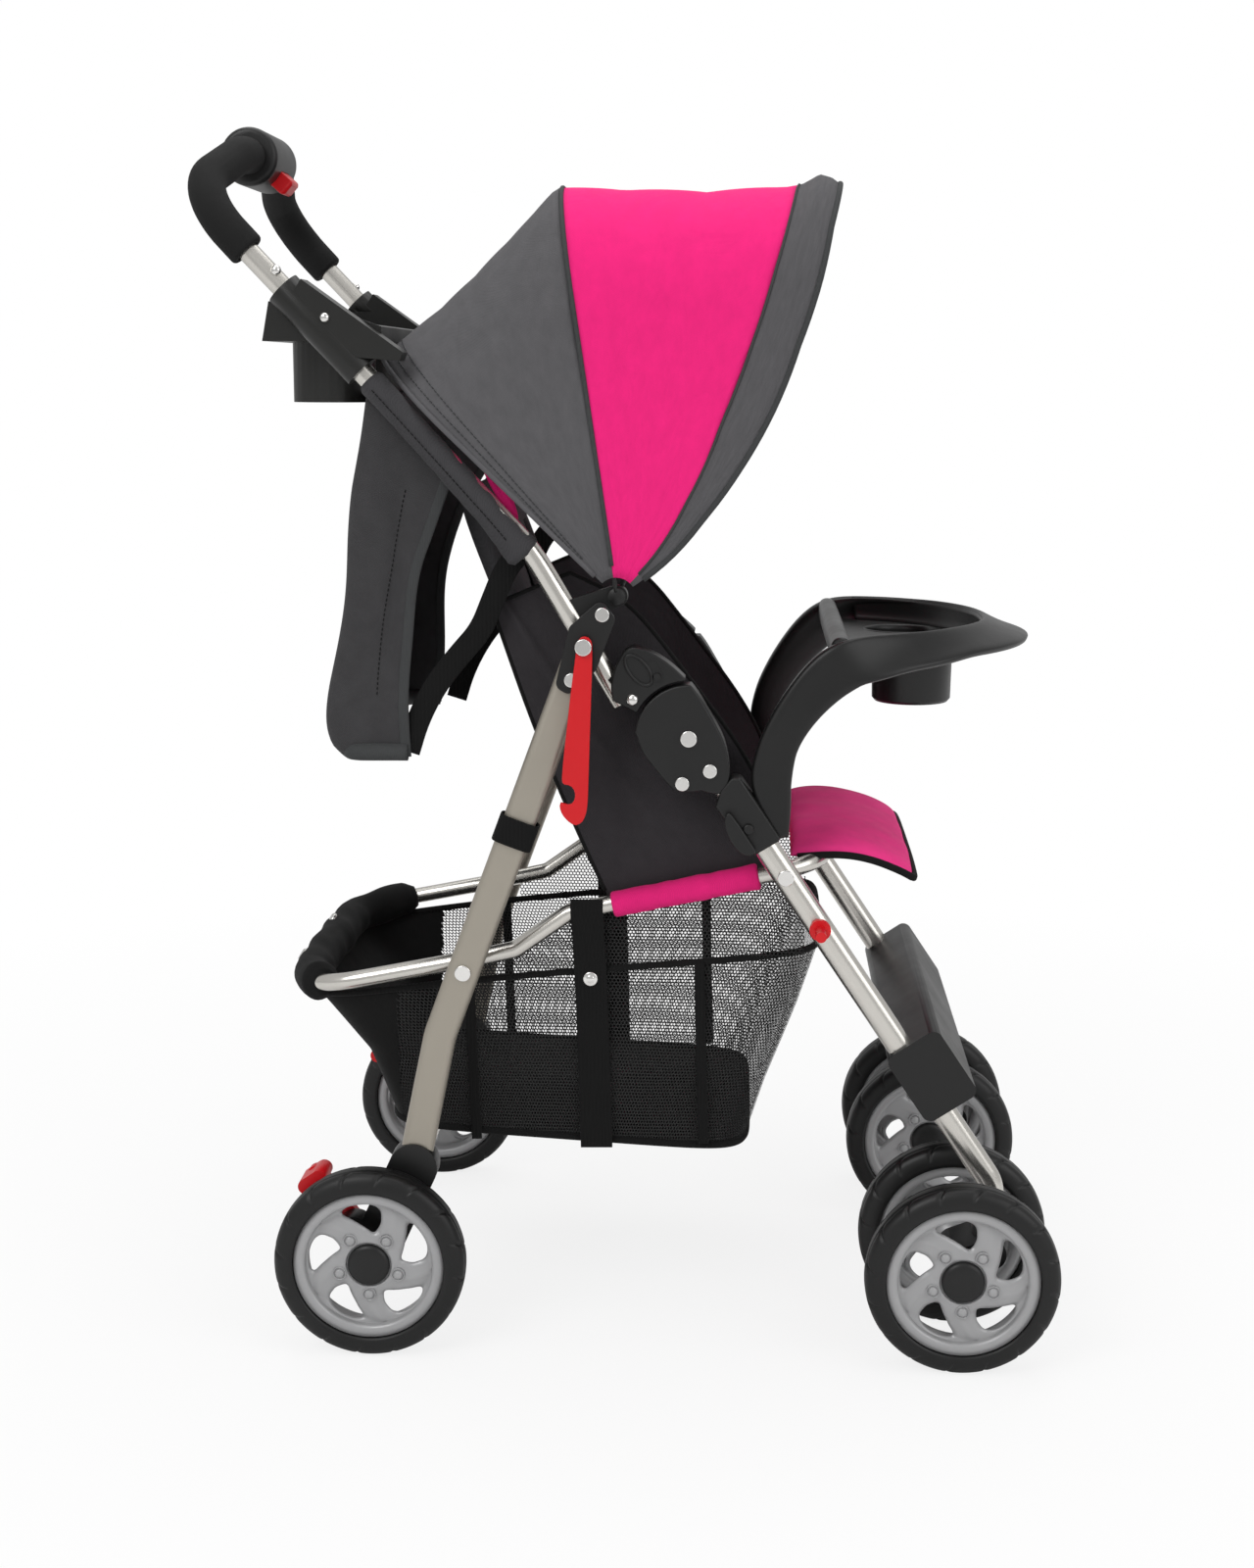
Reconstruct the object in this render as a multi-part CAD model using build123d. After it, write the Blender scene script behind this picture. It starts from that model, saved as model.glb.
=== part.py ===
"""Baby stroller with a four-bar folding frame, in millimetres.

+X is forward, +Y is the stroller's left, +Z is up. The origin is on the floor
under the middle of the stroller. Side views are drawn in X and Z.
"""
import os
from math import atan2, cos, degrees, hypot, radians, sin

from build123d import *

# Wheels
wheel_d = 165.0
tyre_w = 32.0
rim_d = 130.0
rim_lip = 10.5
rim_web = 6.0
spoke_count = 5
hub_d = 34.0
cap_d = 40.0
front_axle_d = 8.0
rear_axle_d = 10.0
running_fit = 0.1
sleeve_fit = 0.1
rear_hub_x = -219.0
rear_wheel_y = 219.5
caster_x = 314.0
caster_trail = 28.0
twin_spacing = 104.0
fork_w = 52.0

# Frame planes, as distances from the middle plane
frame_y = 174.0
rear_leg_y = 192.0
rail_y = 153.5
side_gap = 0.5
cloth_gap = 0.3
cut_over = 80.0

# Tubes
handle_d = 18.0
tube_wall = 1.5
front_leg_w = 22.0
front_leg_t = 18.0
rear_leg_w = 28.0
rear_leg_t = 14.0
rail_d = 15.0
cross_d = 18.0
pin_d = 8.0
rivet_head_d = 14.0
rivet_head_h = 2.5

# Frame pivots in the side view
handle_pivot = (-36.0, 613.0)
lock_pivot = (50.0, 534.5)
seat_pivot = (132.5, 416.5)
fold_pin_drop = 53.0
loop_pivot_drop = 298.0
rear_leg_bend = (-160.0, 277.0)
rear_leg_foot = (-186.0, 150.0)
leg_overrun = 14.0
leg_bend_r = 60.0

# Handle bar
handle_low = 59.0
handle_knee = 90.0
grip_start = (-311.0, 929.0)
handle_corner = (-357.0, 978.0)
bar_top = (-338.0, 1016.0)
bar_half = 70.0
handle_bends = (180.0, 55.0, 90.0)
foam_d = 31.0
housing_d = 50.0
housing_half = 44.0
trigger_w = 30.0
trigger_h = 15.0
trigger_travel = 6.0
trigger_turn = -42.0
slide_fit = 0.4

# Fold lock
lock_reach = 47.5
cheek_r = 45.5
cheek_t = 3.5
tongue_t = 16.0
knuckle_t = handle_d + 5.0
tongue_r = 13.0
slider_travel = 8.0
slider_t = 2.6
slider_len = 10.0
hook_reach = 122.0
hook_t = 4.0
hook_standoff = 3.0
plate_t = 4.0

# Parent tray
tray_floor_z = 858.0
tray_wall = 4.0
tray_x = (-304.0, -205.0)
tray_lip = 32.0
cup_d = 62.0
cup_drop = 50.0
cup_at = (-257.0, -95.0)
cover_d = 30.0
cover_span = (132.0, 40.0)

# Canopy
canopy_pivot = (-10.5, 652.0)
canopy_over = 14.0
canopy_start = 22.0
canopy_corner = 95.0
canopy_skin = 3.0
bow_d = 4.0
bracket_t = 12.0
bow_angles = (99.5, 66.0)
bow_tops = (348.0, 388.0)
hood_back = (129.0, 262.0)
hood_front = (57.5, 380.0)
panel_gap = 1.0

# Seat
seat_t = 24.0
rail_split = (-33.0, 381.0)
rail_front_x = 165.0
loop_rear = (-290.0, 303.0)
loop_knee = (-99.0, 343.0)
loop_bend = 55.0
loop_end = 20.0
back_hinge = (-22.0, 428.4)
back_len = 338.0
back_t = 24.0
back_half = 132.0
back_lean = 111.0
side_t = 3.0
side_y = rail_y - rail_d / 2 - cloth_gap - side_t
seat_half = side_y - cloth_gap
belt_w = 25.0
belt_t = 2.0
strap_len = 60.0
buckle_half = 20.0
seat_rear = -20.0
seat_top = 416.0
basket_half = 150.0
basket_wall = 2.5
drape_half = frame_y - handle_d / 2 - cloth_gap
drape_wall = 2.5
drape_rear = ((-226.0, 800.0), (-233.0, 689.0), (-257.0, 556.0), (-252.0, 522.0))
drape_hem = ((-190.0, 511.0), (-187.0, 623.0), (-156.0, 765.0))
side_back = ((-55.0, 672.0), (-112.0, 621.0), (-80.0, 529.0), (-46.0, 446.0), (-18.0, 384.0))
side_front = ((122.0, 414.0), (130.0, 442.0), (105.0, 505.0), (-4.0, 646.0))
flap_under = ((142.0, 431.3), (184.0, 431.3), (206.0, 420.0), (236.0, 404.0))
flap_over = ((248.0, 413.0), (240.0, 425.0), (188.0, 447.0), (142.0, 447.0))
basket_floor = ((-217.0, 178.0), (-120.0, 171.0), (103.0, 158.0))
basket_front = ((124.0, 222.0), (168.0, 324.0), (-40.0, 352.0))
basket_lip = 10.0

# Child tray
bar_tray_x = (172.0, 349.0)
bar_rim_z = (632.0, 607.0)
bar_under_z = (590.0, 602.0)
bar_rim_w = 14.0
bar_cup_d = 62.0
bar_cup_low = 553.0
bar_cup_y = 75.0
arm_t = 20.0
arm_w = 26.0
arm_angle = 66.0
post_len = 26.0
post_half = 6.0
button_d = 26.0
button_travel = 2.8

# Brake
brake_pivot = (-237.0, 98.0)
brake_pad = (-272.0, 144.0)
brake_t = 8.5

canopy_half = frame_y + canopy_over
bar_tray_half = frame_y + arm_t / 2
wheel_r = wheel_d / 2
hub_z = wheel_r
front_hub_x = caster_x - caster_trail


def along(start, angle, distance):
    """Point at a distance from start, in a direction of the side view."""
    return (start[0] + distance * cos(radians(angle)), start[1] + distance * sin(radians(angle)))


def bearing(start, end):
    return degrees(atan2(end[1] - start[1], end[0] - start[0]))


def span(start, end):
    return hypot(end[0] - start[0], end[1] - start[1])


rear_leg_bearing = bearing(handle_pivot, rear_leg_bend)
loop_pivot = along(handle_pivot, rear_leg_bearing, loop_pivot_drop)
front_leg_bearing = -56.0
fold_pin_at = along(seat_pivot, front_leg_bearing, fold_pin_drop)
handle_bearing = 121.0
seat_lean = bearing(rail_split, seat_pivot)


def slab(profile, y_low, y_high):
    """Side-view profile given thickness between two heights along Y."""
    solid = extrude(Plane.XZ * profile, amount=y_high - y_low, dir=(0, 1, 0))
    return solid.moved(Location((0, y_low, 0)))


def outline(*points):
    return Polygon(*points, align=None)


def outline_from(at, *offsets):
    """Polygon given by offsets from a side-view point."""
    return outline(*[(at[0] + x, at[1] + z) for x, z in offsets])


def capsule(start, end, radius):
    middle = ((start[0] + end[0]) / 2, (start[1] + end[1]) / 2)
    turn = bearing(start, end)
    return Pos(*middle) * SlotCenterToCenter(span(start, end), 2 * radius, rotation=turn)


def rod(at, radius, y_low, y_high):
    """Round bar along Y, centred on a side-view point."""
    return slab(Pos(*at) * Circle(radius), y_low, y_high)


def in_frame(profile, thickness):
    """Side-view profile centred on the right-hand frame plane."""
    return slab(profile, -frame_y - thickness / 2, -frame_y + thickness / 2)


def post(x, y, z_low, radius, height):
    """Round upright standing on z_low."""
    return Pos(x, y, z_low) * Cylinder(radius, height, align=(Align.CENTER, Align.CENTER, Align.MIN))


def pair(solid):
    """A right-hand solid and its mirror image on the left, as one group."""
    return Compound(children=[solid, mirror(solid, about=Plane.XZ)])


def swept(points, radii, section, across=(0, 1, 0)):
    path = FilletPolyline(*points, radius=radii) if len(points) > 2 else Line(*points)
    start = Plane(origin=path @ 0, x_dir=across, z_dir=path % 0)
    return sweep(start * section, path=path)


def ring(outer, inner):
    return Circle(outer / 2) - Circle(inner / 2)


def stadium(width, height):
    """Flat-sided oval, round along its shorter side."""
    return RectangleRounded(width, height, min(width, height) / 2 - 0.05)


def oval(width, height, wall):
    return stadium(width, height) - stadium(width - 2 * wall, height - 2 * wall)


def upright(point, y):
    return (point[0], y, point[1])


# Wheels


def tyre():
    depth = (wheel_d - rim_d) / 2
    section = Rectangle(depth, tyre_w)
    shoulders = section.vertices().sort_by(Axis.X)[-2:]
    section = Pos(rim_d / 2 + depth / 2, 0) * fillet(shoulders, tyre_w / 4)
    return revolve(section, axis=Axis.Y)


def spoke_window(index):
    """Curved opening between two spokes."""
    pitch = 360.0 / spoke_count
    middle = index * pitch
    inner_r = cap_d / 2 + 6
    outer_r = rim_d / 2 - rim_lip - 1
    half = pitch / 2 - 9
    lag = 14.0
    rim_side = [along((0, 0), middle - half + half * step, outer_r) for step in range(3)]
    hub_side = [along((0, 0), middle + half / 2 - lag - half / 2 * step, inner_r) for step in range(3)]
    return outline(*rim_side, *hub_side)


def rim(axle_d, hub_inner):
    """Moulded wheel with its outer face towards -Y; the hub runs in to hub_inner."""
    lip_w = tyre_w - 6
    barrel = slab(Circle(rim_d / 2) - Circle(rim_d / 2 - rim_lip), -lip_w / 2, lip_w / 2)
    face_y = -lip_w / 2 + 4
    web = slab(Circle(rim_d / 2 - rim_lip / 2), face_y, face_y + rim_web)
    for index in range(spoke_count):
        web -= slab(spoke_window(index), face_y - 1, face_y + rim_web + 1)
    body = barrel + web + slab(Circle(hub_d / 2), face_y, hub_inner)
    body += slab(Circle(cap_d / 2), face_y - 5, face_y)
    for index in range(spoke_count):
        stud = along((0, 0), index * 360.0 / spoke_count + 36, cap_d / 2 + 3.5)
        body += rod(stud, 3.2, face_y - 2, face_y)
    return body - slab(Circle(axle_d / 2 + running_fit), face_y - 1, hub_inner + 1)


def wheel_at(solid, x, y, outward):
    """Places a wheel piece; outward is -1 for an outer face towards -Y."""
    if outward > 0:
        solid = mirror(solid, about=Plane.XZ)
    return solid.moved(Location((x, y, hub_z)))


# Rear frame


def rear_leg_form(section):
    top = along(handle_pivot, rear_leg_bearing, -leg_overrun)
    points = [upright(at, -rear_leg_y) for at in (top, rear_leg_bend, rear_leg_foot)]
    return swept(points, leg_bend_r, section)


def rear_leg():
    leg = rear_leg_form(oval(rear_leg_t, rear_leg_w, tube_wall))
    inner = -rear_leg_y - rear_leg_t
    outer = -rear_leg_y + rear_leg_t
    for at in (handle_pivot, loop_pivot):
        leg -= rod(at, pin_d / 2, inner, outer)
    return leg


axle_side = rear_leg_y - rear_leg_t / 2 - 4.0
axle_outer = rear_wheel_y - tyre_w / 2 - 1.5


def axle_housing():
    """Socket on the leg's foot with the axle bore and the brake's pivot boss."""
    hub = (rear_hub_x, hub_z)
    foot = along(rear_leg_foot, bearing(rear_leg_foot, rear_leg_bend), 10.0)
    body = slab(capsule(foot, hub, 21.0), -axle_outer, -axle_side)
    body += rod(brake_pivot, 2 * pin_d, -axle_outer, -axle_side)
    body -= rear_leg_core()
    body -= rod(hub, rear_axle_d / 2, -axle_outer, -axle_side)
    return body + rod(brake_pivot, pin_d / 2, -axle_side, -axle_side + brake_t + side_gap)


def rear_leg_core():
    """The leg's outer form, for the socket that takes it."""
    return rear_leg_form(stadium(rear_leg_t, rear_leg_w))


def rear_axle():
    return rod((rear_hub_x, hub_z), rear_axle_d / 2, -rear_wheel_y - 8.0, -axle_side)


def rear_cross_tube():
    foot = along(rear_leg_foot, bearing(rear_leg_foot, rear_leg_bend), 8.0)
    return slab(Pos(*foot) * ring(cross_d, cross_d - 2 * tube_wall), -axle_side, axle_side)


plate_in = rear_leg_y + rear_leg_t / 2


def hinge_plate():
    corners = ((14, 39), (-12, 16), (-24, -34), (-12, -41), (10, -20), (26, 23))
    shape = fillet(outline_from(handle_pivot, *corners).vertices(), 7.0)
    face = -plate_in - plate_t
    return slab(shape, face, -plate_in) - rod(handle_pivot, pin_d / 2, face, -plate_in)


def rear_rivets():
    """Pivot pins of the handle and of the basket loop, and the plate rivets."""
    pieces = []
    head = -plate_in - plate_t
    hook_room = hook_standoff + hook_t + side_gap
    handle_pin = rod(handle_pivot, pin_d / 2, head - hook_room, -frame_y + handle_d / 2 - tube_wall)
    handle_pin += rod(handle_pivot, rivet_head_d / 2, head - hook_room - rivet_head_h, head - hook_room)
    handle_pin += rod(handle_pivot, rivet_head_d / 2, head - hook_standoff + side_gap, head)
    far_pin = rod(handle_pivot, pin_d / 2, head, -frame_y + handle_d / 2 - tube_wall)
    far_pin += rod(handle_pivot, rivet_head_d / 2, head - rivet_head_h, head)
    pieces += [handle_pin, mirror(far_pin, about=Plane.XZ)]
    loop_pin = rod(loop_pivot, pin_d / 2, -plate_in, -rail_y + rail_d / 2 - tube_wall)
    loop_pin += rod(loop_pivot, rivet_head_d / 2, -plate_in - rivet_head_h, -plate_in)
    spacer_in = rail_y + rail_d / 2 + side_gap
    loop_pin += rod(loop_pivot, pin_d, -rear_leg_y + rear_leg_t / 2, -spacer_in)
    pieces += [loop_pin, mirror(loop_pin, about=Plane.XZ)]
    x, z = handle_pivot
    for at in ((x + 15, z + 26), along(handle_pivot, rear_leg_bearing, 30.0)):
        stud = rod(at, rivet_head_d / 2 - 1, head - rivet_head_h + 0.5, head)
        pieces += [stud, mirror(stud, about=Plane.XZ)]
    return Compound(children=pieces)


def brake_pedal():
    low = -axle_side + side_gap
    lever = slab(capsule(brake_pivot, brake_pad, brake_t - side_gap), low, low + brake_t)
    toe = SlotCenterToCenter(14.0, 14.0, rotation=35)
    pad = slab(Pos(*brake_pad) * toe, -axle_outer + 2, low + brake_t)
    hole = rod(brake_pivot, pin_d / 2 + running_fit, -axle_side, -axle_side + brake_t + 2)
    return lever + pad - hole


def fold_hook():
    notch = along(handle_pivot, -93.0, hook_reach)
    tip = along(handle_pivot, -93.0, hook_reach + 10)
    y_high = -plate_in - plate_t - hook_standoff
    arm = slab(capsule(handle_pivot, tip, 10.0), y_high - hook_t, y_high)
    mouth = capsule(notch, along(notch, 180.0, 20.0), 6.0)
    arm -= slab(mouth, y_high - hook_t, y_high)
    return arm - rod(handle_pivot, pin_d / 2 + running_fit, y_high - hook_t, y_high)


# Handle frame


def handle_points(side):
    """Tube axis from the lower end to the middle of the bar, on one side."""
    return [upright(along(handle_pivot, handle_bearing, -handle_low), side * frame_y),
            upright(along(handle_pivot, handle_bearing, handle_knee), side * frame_y),
            upright(grip_start, side * frame_y), upright(handle_corner, side * frame_y),
            (bar_top[0], side * bar_half, bar_top[1])]


def handle_tube():
    right = handle_points(-1)
    points = right + handle_points(1)[::-1]
    knee, corner, crown = handle_bends
    radii = [knee, knee, corner, crown]
    tube = swept(points, radii + radii[::-1], ring(handle_d, handle_d - 2 * tube_wall))
    return tube - rod(handle_pivot, pin_d / 2 + running_fit, -frame_y - handle_d, frame_y + handle_d)


def handle_core(shrink=0.0):
    """Full round form of the side tubes, for the sleeves that grip them."""
    right = handle_points(-1)[:3]
    return swept(right, handle_bends[0], Circle(handle_d / 2 - shrink))


def foam_grip():
    right = handle_points(-1)
    points = right[2:] + [(bar_top[0], -housing_half, bar_top[1])]
    return swept(points, list(handle_bends[1:]), ring(foam_d, handle_d + 2 * sleeve_fit))


def trigger_frame():
    """Place of the trigger's axis: it leaves the bar forward and down."""
    return Location((bar_top[0], 0, bar_top[1]), (0, -trigger_turn, 0))


def trigger_housing():
    shell = rod(bar_top, housing_d / 2, -housing_half, housing_half)
    shell = fillet(shell.edges().filter_by(GeomType.CIRCLE), 5.0)
    shell -= rod(bar_top, handle_d / 2, -housing_half, housing_half)
    depth = housing_d / 2
    room = 2 * slide_fit
    slot = Box(depth, trigger_w + room, trigger_h + room, align=(Align.MIN, Align.CENTER, Align.CENTER))
    return shell - slot.moved(Location((handle_d / 2 + 0.5, 0, 0))).moved(trigger_frame())


def fold_trigger():
    length = housing_d / 2 + 13.0 - (handle_d / 2 + 1.0 + trigger_travel)
    block = Box(length, trigger_w, trigger_h, align=(Align.MIN, Align.CENTER, Align.CENTER))
    block = fillet(block.faces().sort_by(Axis.X)[-1].edges(), 4.0)
    return block.moved(Location((handle_d / 2 + 1.0 + trigger_travel, 0, 0))).moved(trigger_frame())


def parent_tray():
    """Console between the side tubes: floor, lip, walls, two sleeves and two cups."""
    rear_x, front_x = tray_x
    half = frame_y - handle_d / 2 - 1.0
    low = tray_floor_z
    top = low + tray_lip
    shape = outline((rear_x, low), (rear_x + 6, top), (rear_x + 40, top), (front_x, low + 12), (front_x, low))
    floor = low + tray_wall
    back = rear_x + tray_wall
    front = front_x - tray_wall
    hollow = outline((back, floor), (back + 6, top + 1), (front, top + 1), (front, floor))
    run = bearing(grip_start, knee_at)
    ends = [upright(along(grip_start, run, reach), -frame_y) for reach in cover_span]
    sleeve = swept(ends, [], Circle(cover_d / 2))
    cap = outline((-277.0, 890.0), (-266.0, 907.0), (-184.0, 849.0), (-187.0, 842.0), (-223.0, 845.0))
    sleeve += in_frame(cap, cover_d - 2.0)
    cup_x, cup_y = cup_at
    body = slab(shape, -half, half) + sleeve + mirror(sleeve, about=Plane.XZ)
    for y in (cup_y, -cup_y):
        body += post(cup_x, y, low - cup_drop, cup_d / 2 + tray_wall, cup_drop + 2)
    body -= slab(hollow, -half + tray_wall, half - tray_wall)
    for y in (cup_y, -cup_y):
        body -= post(cup_x, y, floor - cup_drop, cup_d / 2, cup_drop + tray_lip)
    return body - handle_core() - mirror(handle_core(), about=Plane.XZ)


knee_at = along(handle_pivot, handle_bearing, handle_knee)


def canopy_bracket():
    foot = along(handle_pivot, handle_bearing, 30.0)
    start = along(foot, bearing(foot, canopy_pivot), 3.0)
    arm = in_frame(capsule(start, canopy_pivot, handle_d / 2), bracket_t) - handle_core()
    arm = arm.solids().sort_by(SortBy.VOLUME)[-1]
    return arm - in_frame(Pos(*canopy_pivot) * Circle(pin_d / 2 + running_fit), bracket_t)


def lock_knuckle():
    """Block on the handle's lower end with a tongue that reaches the lock pivot."""
    corners = ((-47, 23), (-58, 25), (-77, 38), (-70, 54), (-47, 76), (-20, 65), (-2, 46))
    shape = outline_from(lock_pivot, *corners) - Pos(*lock_pivot) * Circle(lock_reach)
    tongue = capsule(along(lock_pivot, 138.0, 56.0), lock_pivot, tongue_r)
    body = in_frame(shape, knuckle_t) + in_frame(tongue, tongue_t) - handle_core()
    body -= slider_recess(slide_fit, slider_travel)
    body = body.solids().sort_by(SortBy.VOLUME)[-1]
    return body - in_frame(Pos(*lock_pivot) * Circle(pin_d / 2 + running_fit), knuckle_t)


def slider_recess(room, travel):
    start = along(lock_pivot, 117.0, 58.0)
    end = along(start, handle_bearing, slider_len + travel)
    face = -frame_y - knuckle_t / 2
    return slab(capsule(start, end, slider_len / 2 + room), face, face + slider_t + room)


def lock_slider():
    start = along(lock_pivot, 117.0, 58.0)
    face = -frame_y - knuckle_t / 2
    shape = capsule(start, along(start, handle_bearing, slider_len), slider_len / 2)
    return slab(shape, face, face + slider_t) + rod(start, 3.0, face - slider_t, face)


def rear_drape():
    """Cloth wall that hangs behind the back rest, open to the front."""
    inner = [(x + drape_wall, z) for x, z in drape_rear]
    high = drape_rear[0][1] + cut_over
    low = drape_hem[0][1] - cut_over
    ahead = drape_hem[-1][0] + cut_over
    room = outline((inner[0][0], high), *inner, (inner[-1][0], low), (ahead, low), (ahead, high))
    inside = drape_half - drape_wall
    return slab(outline(*drape_rear, *drape_hem), -drape_half, drape_half) - slab(room, -inside, inside)


def recline_strap():
    """Webbing loop round the tube with a tail that drops to the back rest."""
    top = along(handle_pivot, handle_bearing, 67.0)
    low = along(handle_pivot, handle_bearing, 67.0 - belt_w)
    axis = [upright(low, -frame_y), upright(top, -frame_y)]
    loop = swept(axis, [], ring(handle_d + 2 * belt_t, handle_d + 2 * sleeve_fit))
    inner = -frame_y + handle_d / 2
    tail = outline(low, top, (top[0] - 46, top[1] - 62), (low[0] - 46, low[1] - 62))
    return loop + slab(tail, inner, inner + belt_t)


# Front frame


def front_leg_points():
    reach = (caster_x - seat_pivot[0]) / cos(radians(front_leg_bearing))
    corner = along(seat_pivot, front_leg_bearing, reach)
    top = along(seat_pivot, front_leg_bearing, -92.0)
    return [upright(top, -frame_y), upright(corner, -frame_y), (caster_x, -frame_y, stub_low)]


socket_low = 112.0
socket_h = 22.0
stub_low = socket_low + 14.0
socket_d = 32.0


def front_leg(section):
    return swept(front_leg_points(), 34.0, section)


def front_leg_tube():
    return front_leg(oval(front_leg_t, front_leg_w, tube_wall))


def front_leg_core():
    return front_leg(stadium(front_leg_t, front_leg_w))


def leg_box(drop_low, drop_high, back, ahead):
    """Side-view box beside the front leg's axis, measured from the seat pivot."""
    low = along(seat_pivot, front_leg_bearing, drop_low)
    high = along(seat_pivot, front_leg_bearing, drop_high)
    side = front_leg_bearing + 90
    corners = ((low, -back), (low, ahead), (high, ahead), (high, -back))
    return outline(*[along(at, side, reach) for at, reach in corners])


def footrest():
    """Cross-brace and foot plate between the front legs."""
    half = frame_y + front_leg_t / 2 + 4.0
    shape = leg_box(178.0, 246.0, 16.0, 36.0)
    body = slab(fillet(shape.vertices(), 8.0), -half, half)
    inside = frame_y - front_leg_t / 2 - 4.0
    body -= slab(leg_box(186.0, 250.0, 24.0, 28.0), -inside, inside)
    return body - front_leg_core() - mirror(front_leg_core(), about=Plane.XZ)


cheek_out = frame_y + handle_d / 2
cheek_in = frame_y - handle_d / 2


def lock_housing():
    """Two cheeks and a front web that carry the lock pivot on the front leg."""
    front = ((15, 27), (30, -14), (38, -38))
    rear = ((28, -48), (-10, -46), (-35, -18), (-48, 5), (-40, 25), (-20, 43))
    cheek = outline_from(lock_pivot, (7, 44), *front, *rear)
    cheek &= Pos(*lock_pivot) * Circle(cheek_r)
    cheek += leg_box(-98.0, -76.0, front_leg_w / 2, front_leg_w / 2 + 1)
    low = -cheek_out - cheek_t
    high = -cheek_in + cheek_t
    body = slab(cheek, low, -cheek_out) + slab(cheek, -cheek_in, high)
    body += slab(outline_from(lock_pivot, (12, 26), *front, (33, -36), (19, -12)), low, high)
    return body - front_leg_core() - rod(lock_pivot, pin_d / 2, low, high)


def front_rivets():
    """Lock pivot pins, seat pivot washers and the heads on the housings."""
    pieces = []
    face = -cheek_out - cheek_t
    pivot = rod(lock_pivot, pin_d / 2, face, -cheek_in + cheek_t)
    pivot += rod(lock_pivot, rivet_head_d / 2, face - rivet_head_h, face)
    pieces.append(pivot)
    x, z = lock_pivot
    for at in ((x + 18, z - 27), (x - 5, z - 38)):
        pieces.append(rod(at, rivet_head_d / 2 - 1, face - rivet_head_h, face))
    leg_in = -frame_y + front_leg_t / 2
    washer = rod(seat_pivot, pin_d, leg_in, -rail_y - rail_d / 2 - side_gap)
    leg_out = -frame_y - front_leg_t / 2
    head = rod(seat_pivot, rivet_head_d / 2, leg_out - rivet_head_h, leg_out)
    pieces += [washer, head]
    return Compound(children=pieces + [mirror(piece, about=Plane.XZ) for piece in pieces])


def fold_pin():
    face = -frame_y - front_leg_t / 2
    reach = plate_in + plate_t + hook_standoff + hook_t + 1.0
    return rod(fold_pin_at, 9.0, face - 5.0, face) + rod(fold_pin_at, 4.5, -reach, face - 5.0)


clip_out = frame_y + front_leg_t / 2 + 4.0
clip_in = frame_y - front_leg_t / 2 - 3.0
clip_at = along(seat_pivot, front_leg_bearing, -55.0)
post_at = along(clip_at, front_leg_bearing + 90, 8.0)


def post_shape(room):
    return capsule(post_at, along(post_at, arm_angle, post_len), post_half + room)


def tray_clip():
    body = slab(fillet(leg_box(-66.0, -38.0, 15.0, 15.0).vertices(), 4.0), -clip_out, -clip_in)
    body += in_frame(post_shape(0.0), 2 * post_half)
    body -= front_leg_core()
    return body - rod(clip_at, button_d / 5 + slide_fit, -clip_out, -frame_y)


def tray_button():
    head_in = -clip_out - button_travel - 0.4
    button = rod(clip_at, button_d / 2, head_in - 4.5, head_in)
    button = fillet(button.edges().sort_by(Axis.Y)[0], 1.8)
    return button + rod(clip_at, button_d / 5, head_in, -clip_out + 0.9)


def caster_socket():
    body = post(caster_x, -frame_y, socket_low, socket_d / 2, socket_h) - front_leg_core()
    return body - post(caster_x, -frame_y, socket_low, pin_d / 2 + running_fit, stub_low - socket_low)


def caster_fork():
    """Trailing fork with its swivel pin and axle bore."""
    top = socket_low - side_gap
    hub = (front_hub_x, hub_z)
    body = in_frame(capsule((caster_x - 2, hub_z + 10), hub, 14.0), fork_w)
    body += post(caster_x, -frame_y, hub_z, socket_d / 2, top - hub_z)
    body += post(caster_x, -frame_y, top, pin_d / 2, stub_low - top - 1.0)
    return body - in_frame(Pos(*hub) * Circle(front_axle_d / 2), fork_w)


def front_axle():
    reach = twin_spacing / 2 + 8.0
    return rod((front_hub_x, hub_z), front_axle_d / 2, -frame_y - reach, -frame_y + reach)


# Child tray


def tray_plan(inset):
    """Plan of the front tray: straight at the rear, bowed at the front."""
    rear_x, front_x = bar_tray_x
    half = bar_tray_half
    bow = ThreePointArc((rear_x, half), (front_x, 0), (rear_x, -half))
    return offset(make_face(Line((rear_x, -half), (rear_x, half)) + bow), amount=-inset)


def tray_layer(lift, room):
    """Side view of the tray from its underside plus lift to its rim plus room."""
    rear_x, front_x = bar_tray_x
    under_rear, under_front = [z + lift for z in bar_under_z]
    rim_rear, rim_front = [z + room for z in bar_rim_z]
    return outline((rear_x, under_rear), (rear_x, rim_rear), (front_x, rim_front), (front_x, under_front))


def child_tray():
    """Front tray with a sloped rim, two cup wells and an arm down to each clip."""
    high = 2 * bar_rim_z[0]
    half = bar_tray_half
    well_x = sum(bar_tray_x) / 2 - bar_rim_w
    well_r = bar_cup_d / 2
    body = slab(tray_layer(0.0, 0.0), -half, half) & extrude(tray_plan(0.0), amount=high)
    for y in (-bar_cup_y, bar_cup_y):
        body += post(well_x, y, bar_cup_low, well_r + tray_wall, bar_under_z[1] - bar_cup_low)
    body -= slab(tray_layer(tray_wall, cut_over), -half, half) & extrude(tray_plan(bar_rim_w), amount=high)
    for y in (-bar_cup_y, bar_cup_y):
        body -= post(well_x, y, bar_cup_low + tray_wall, well_r, cut_over)
    arm = tray_arm()
    return body + arm + mirror(arm, about=Plane.XZ)


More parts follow.
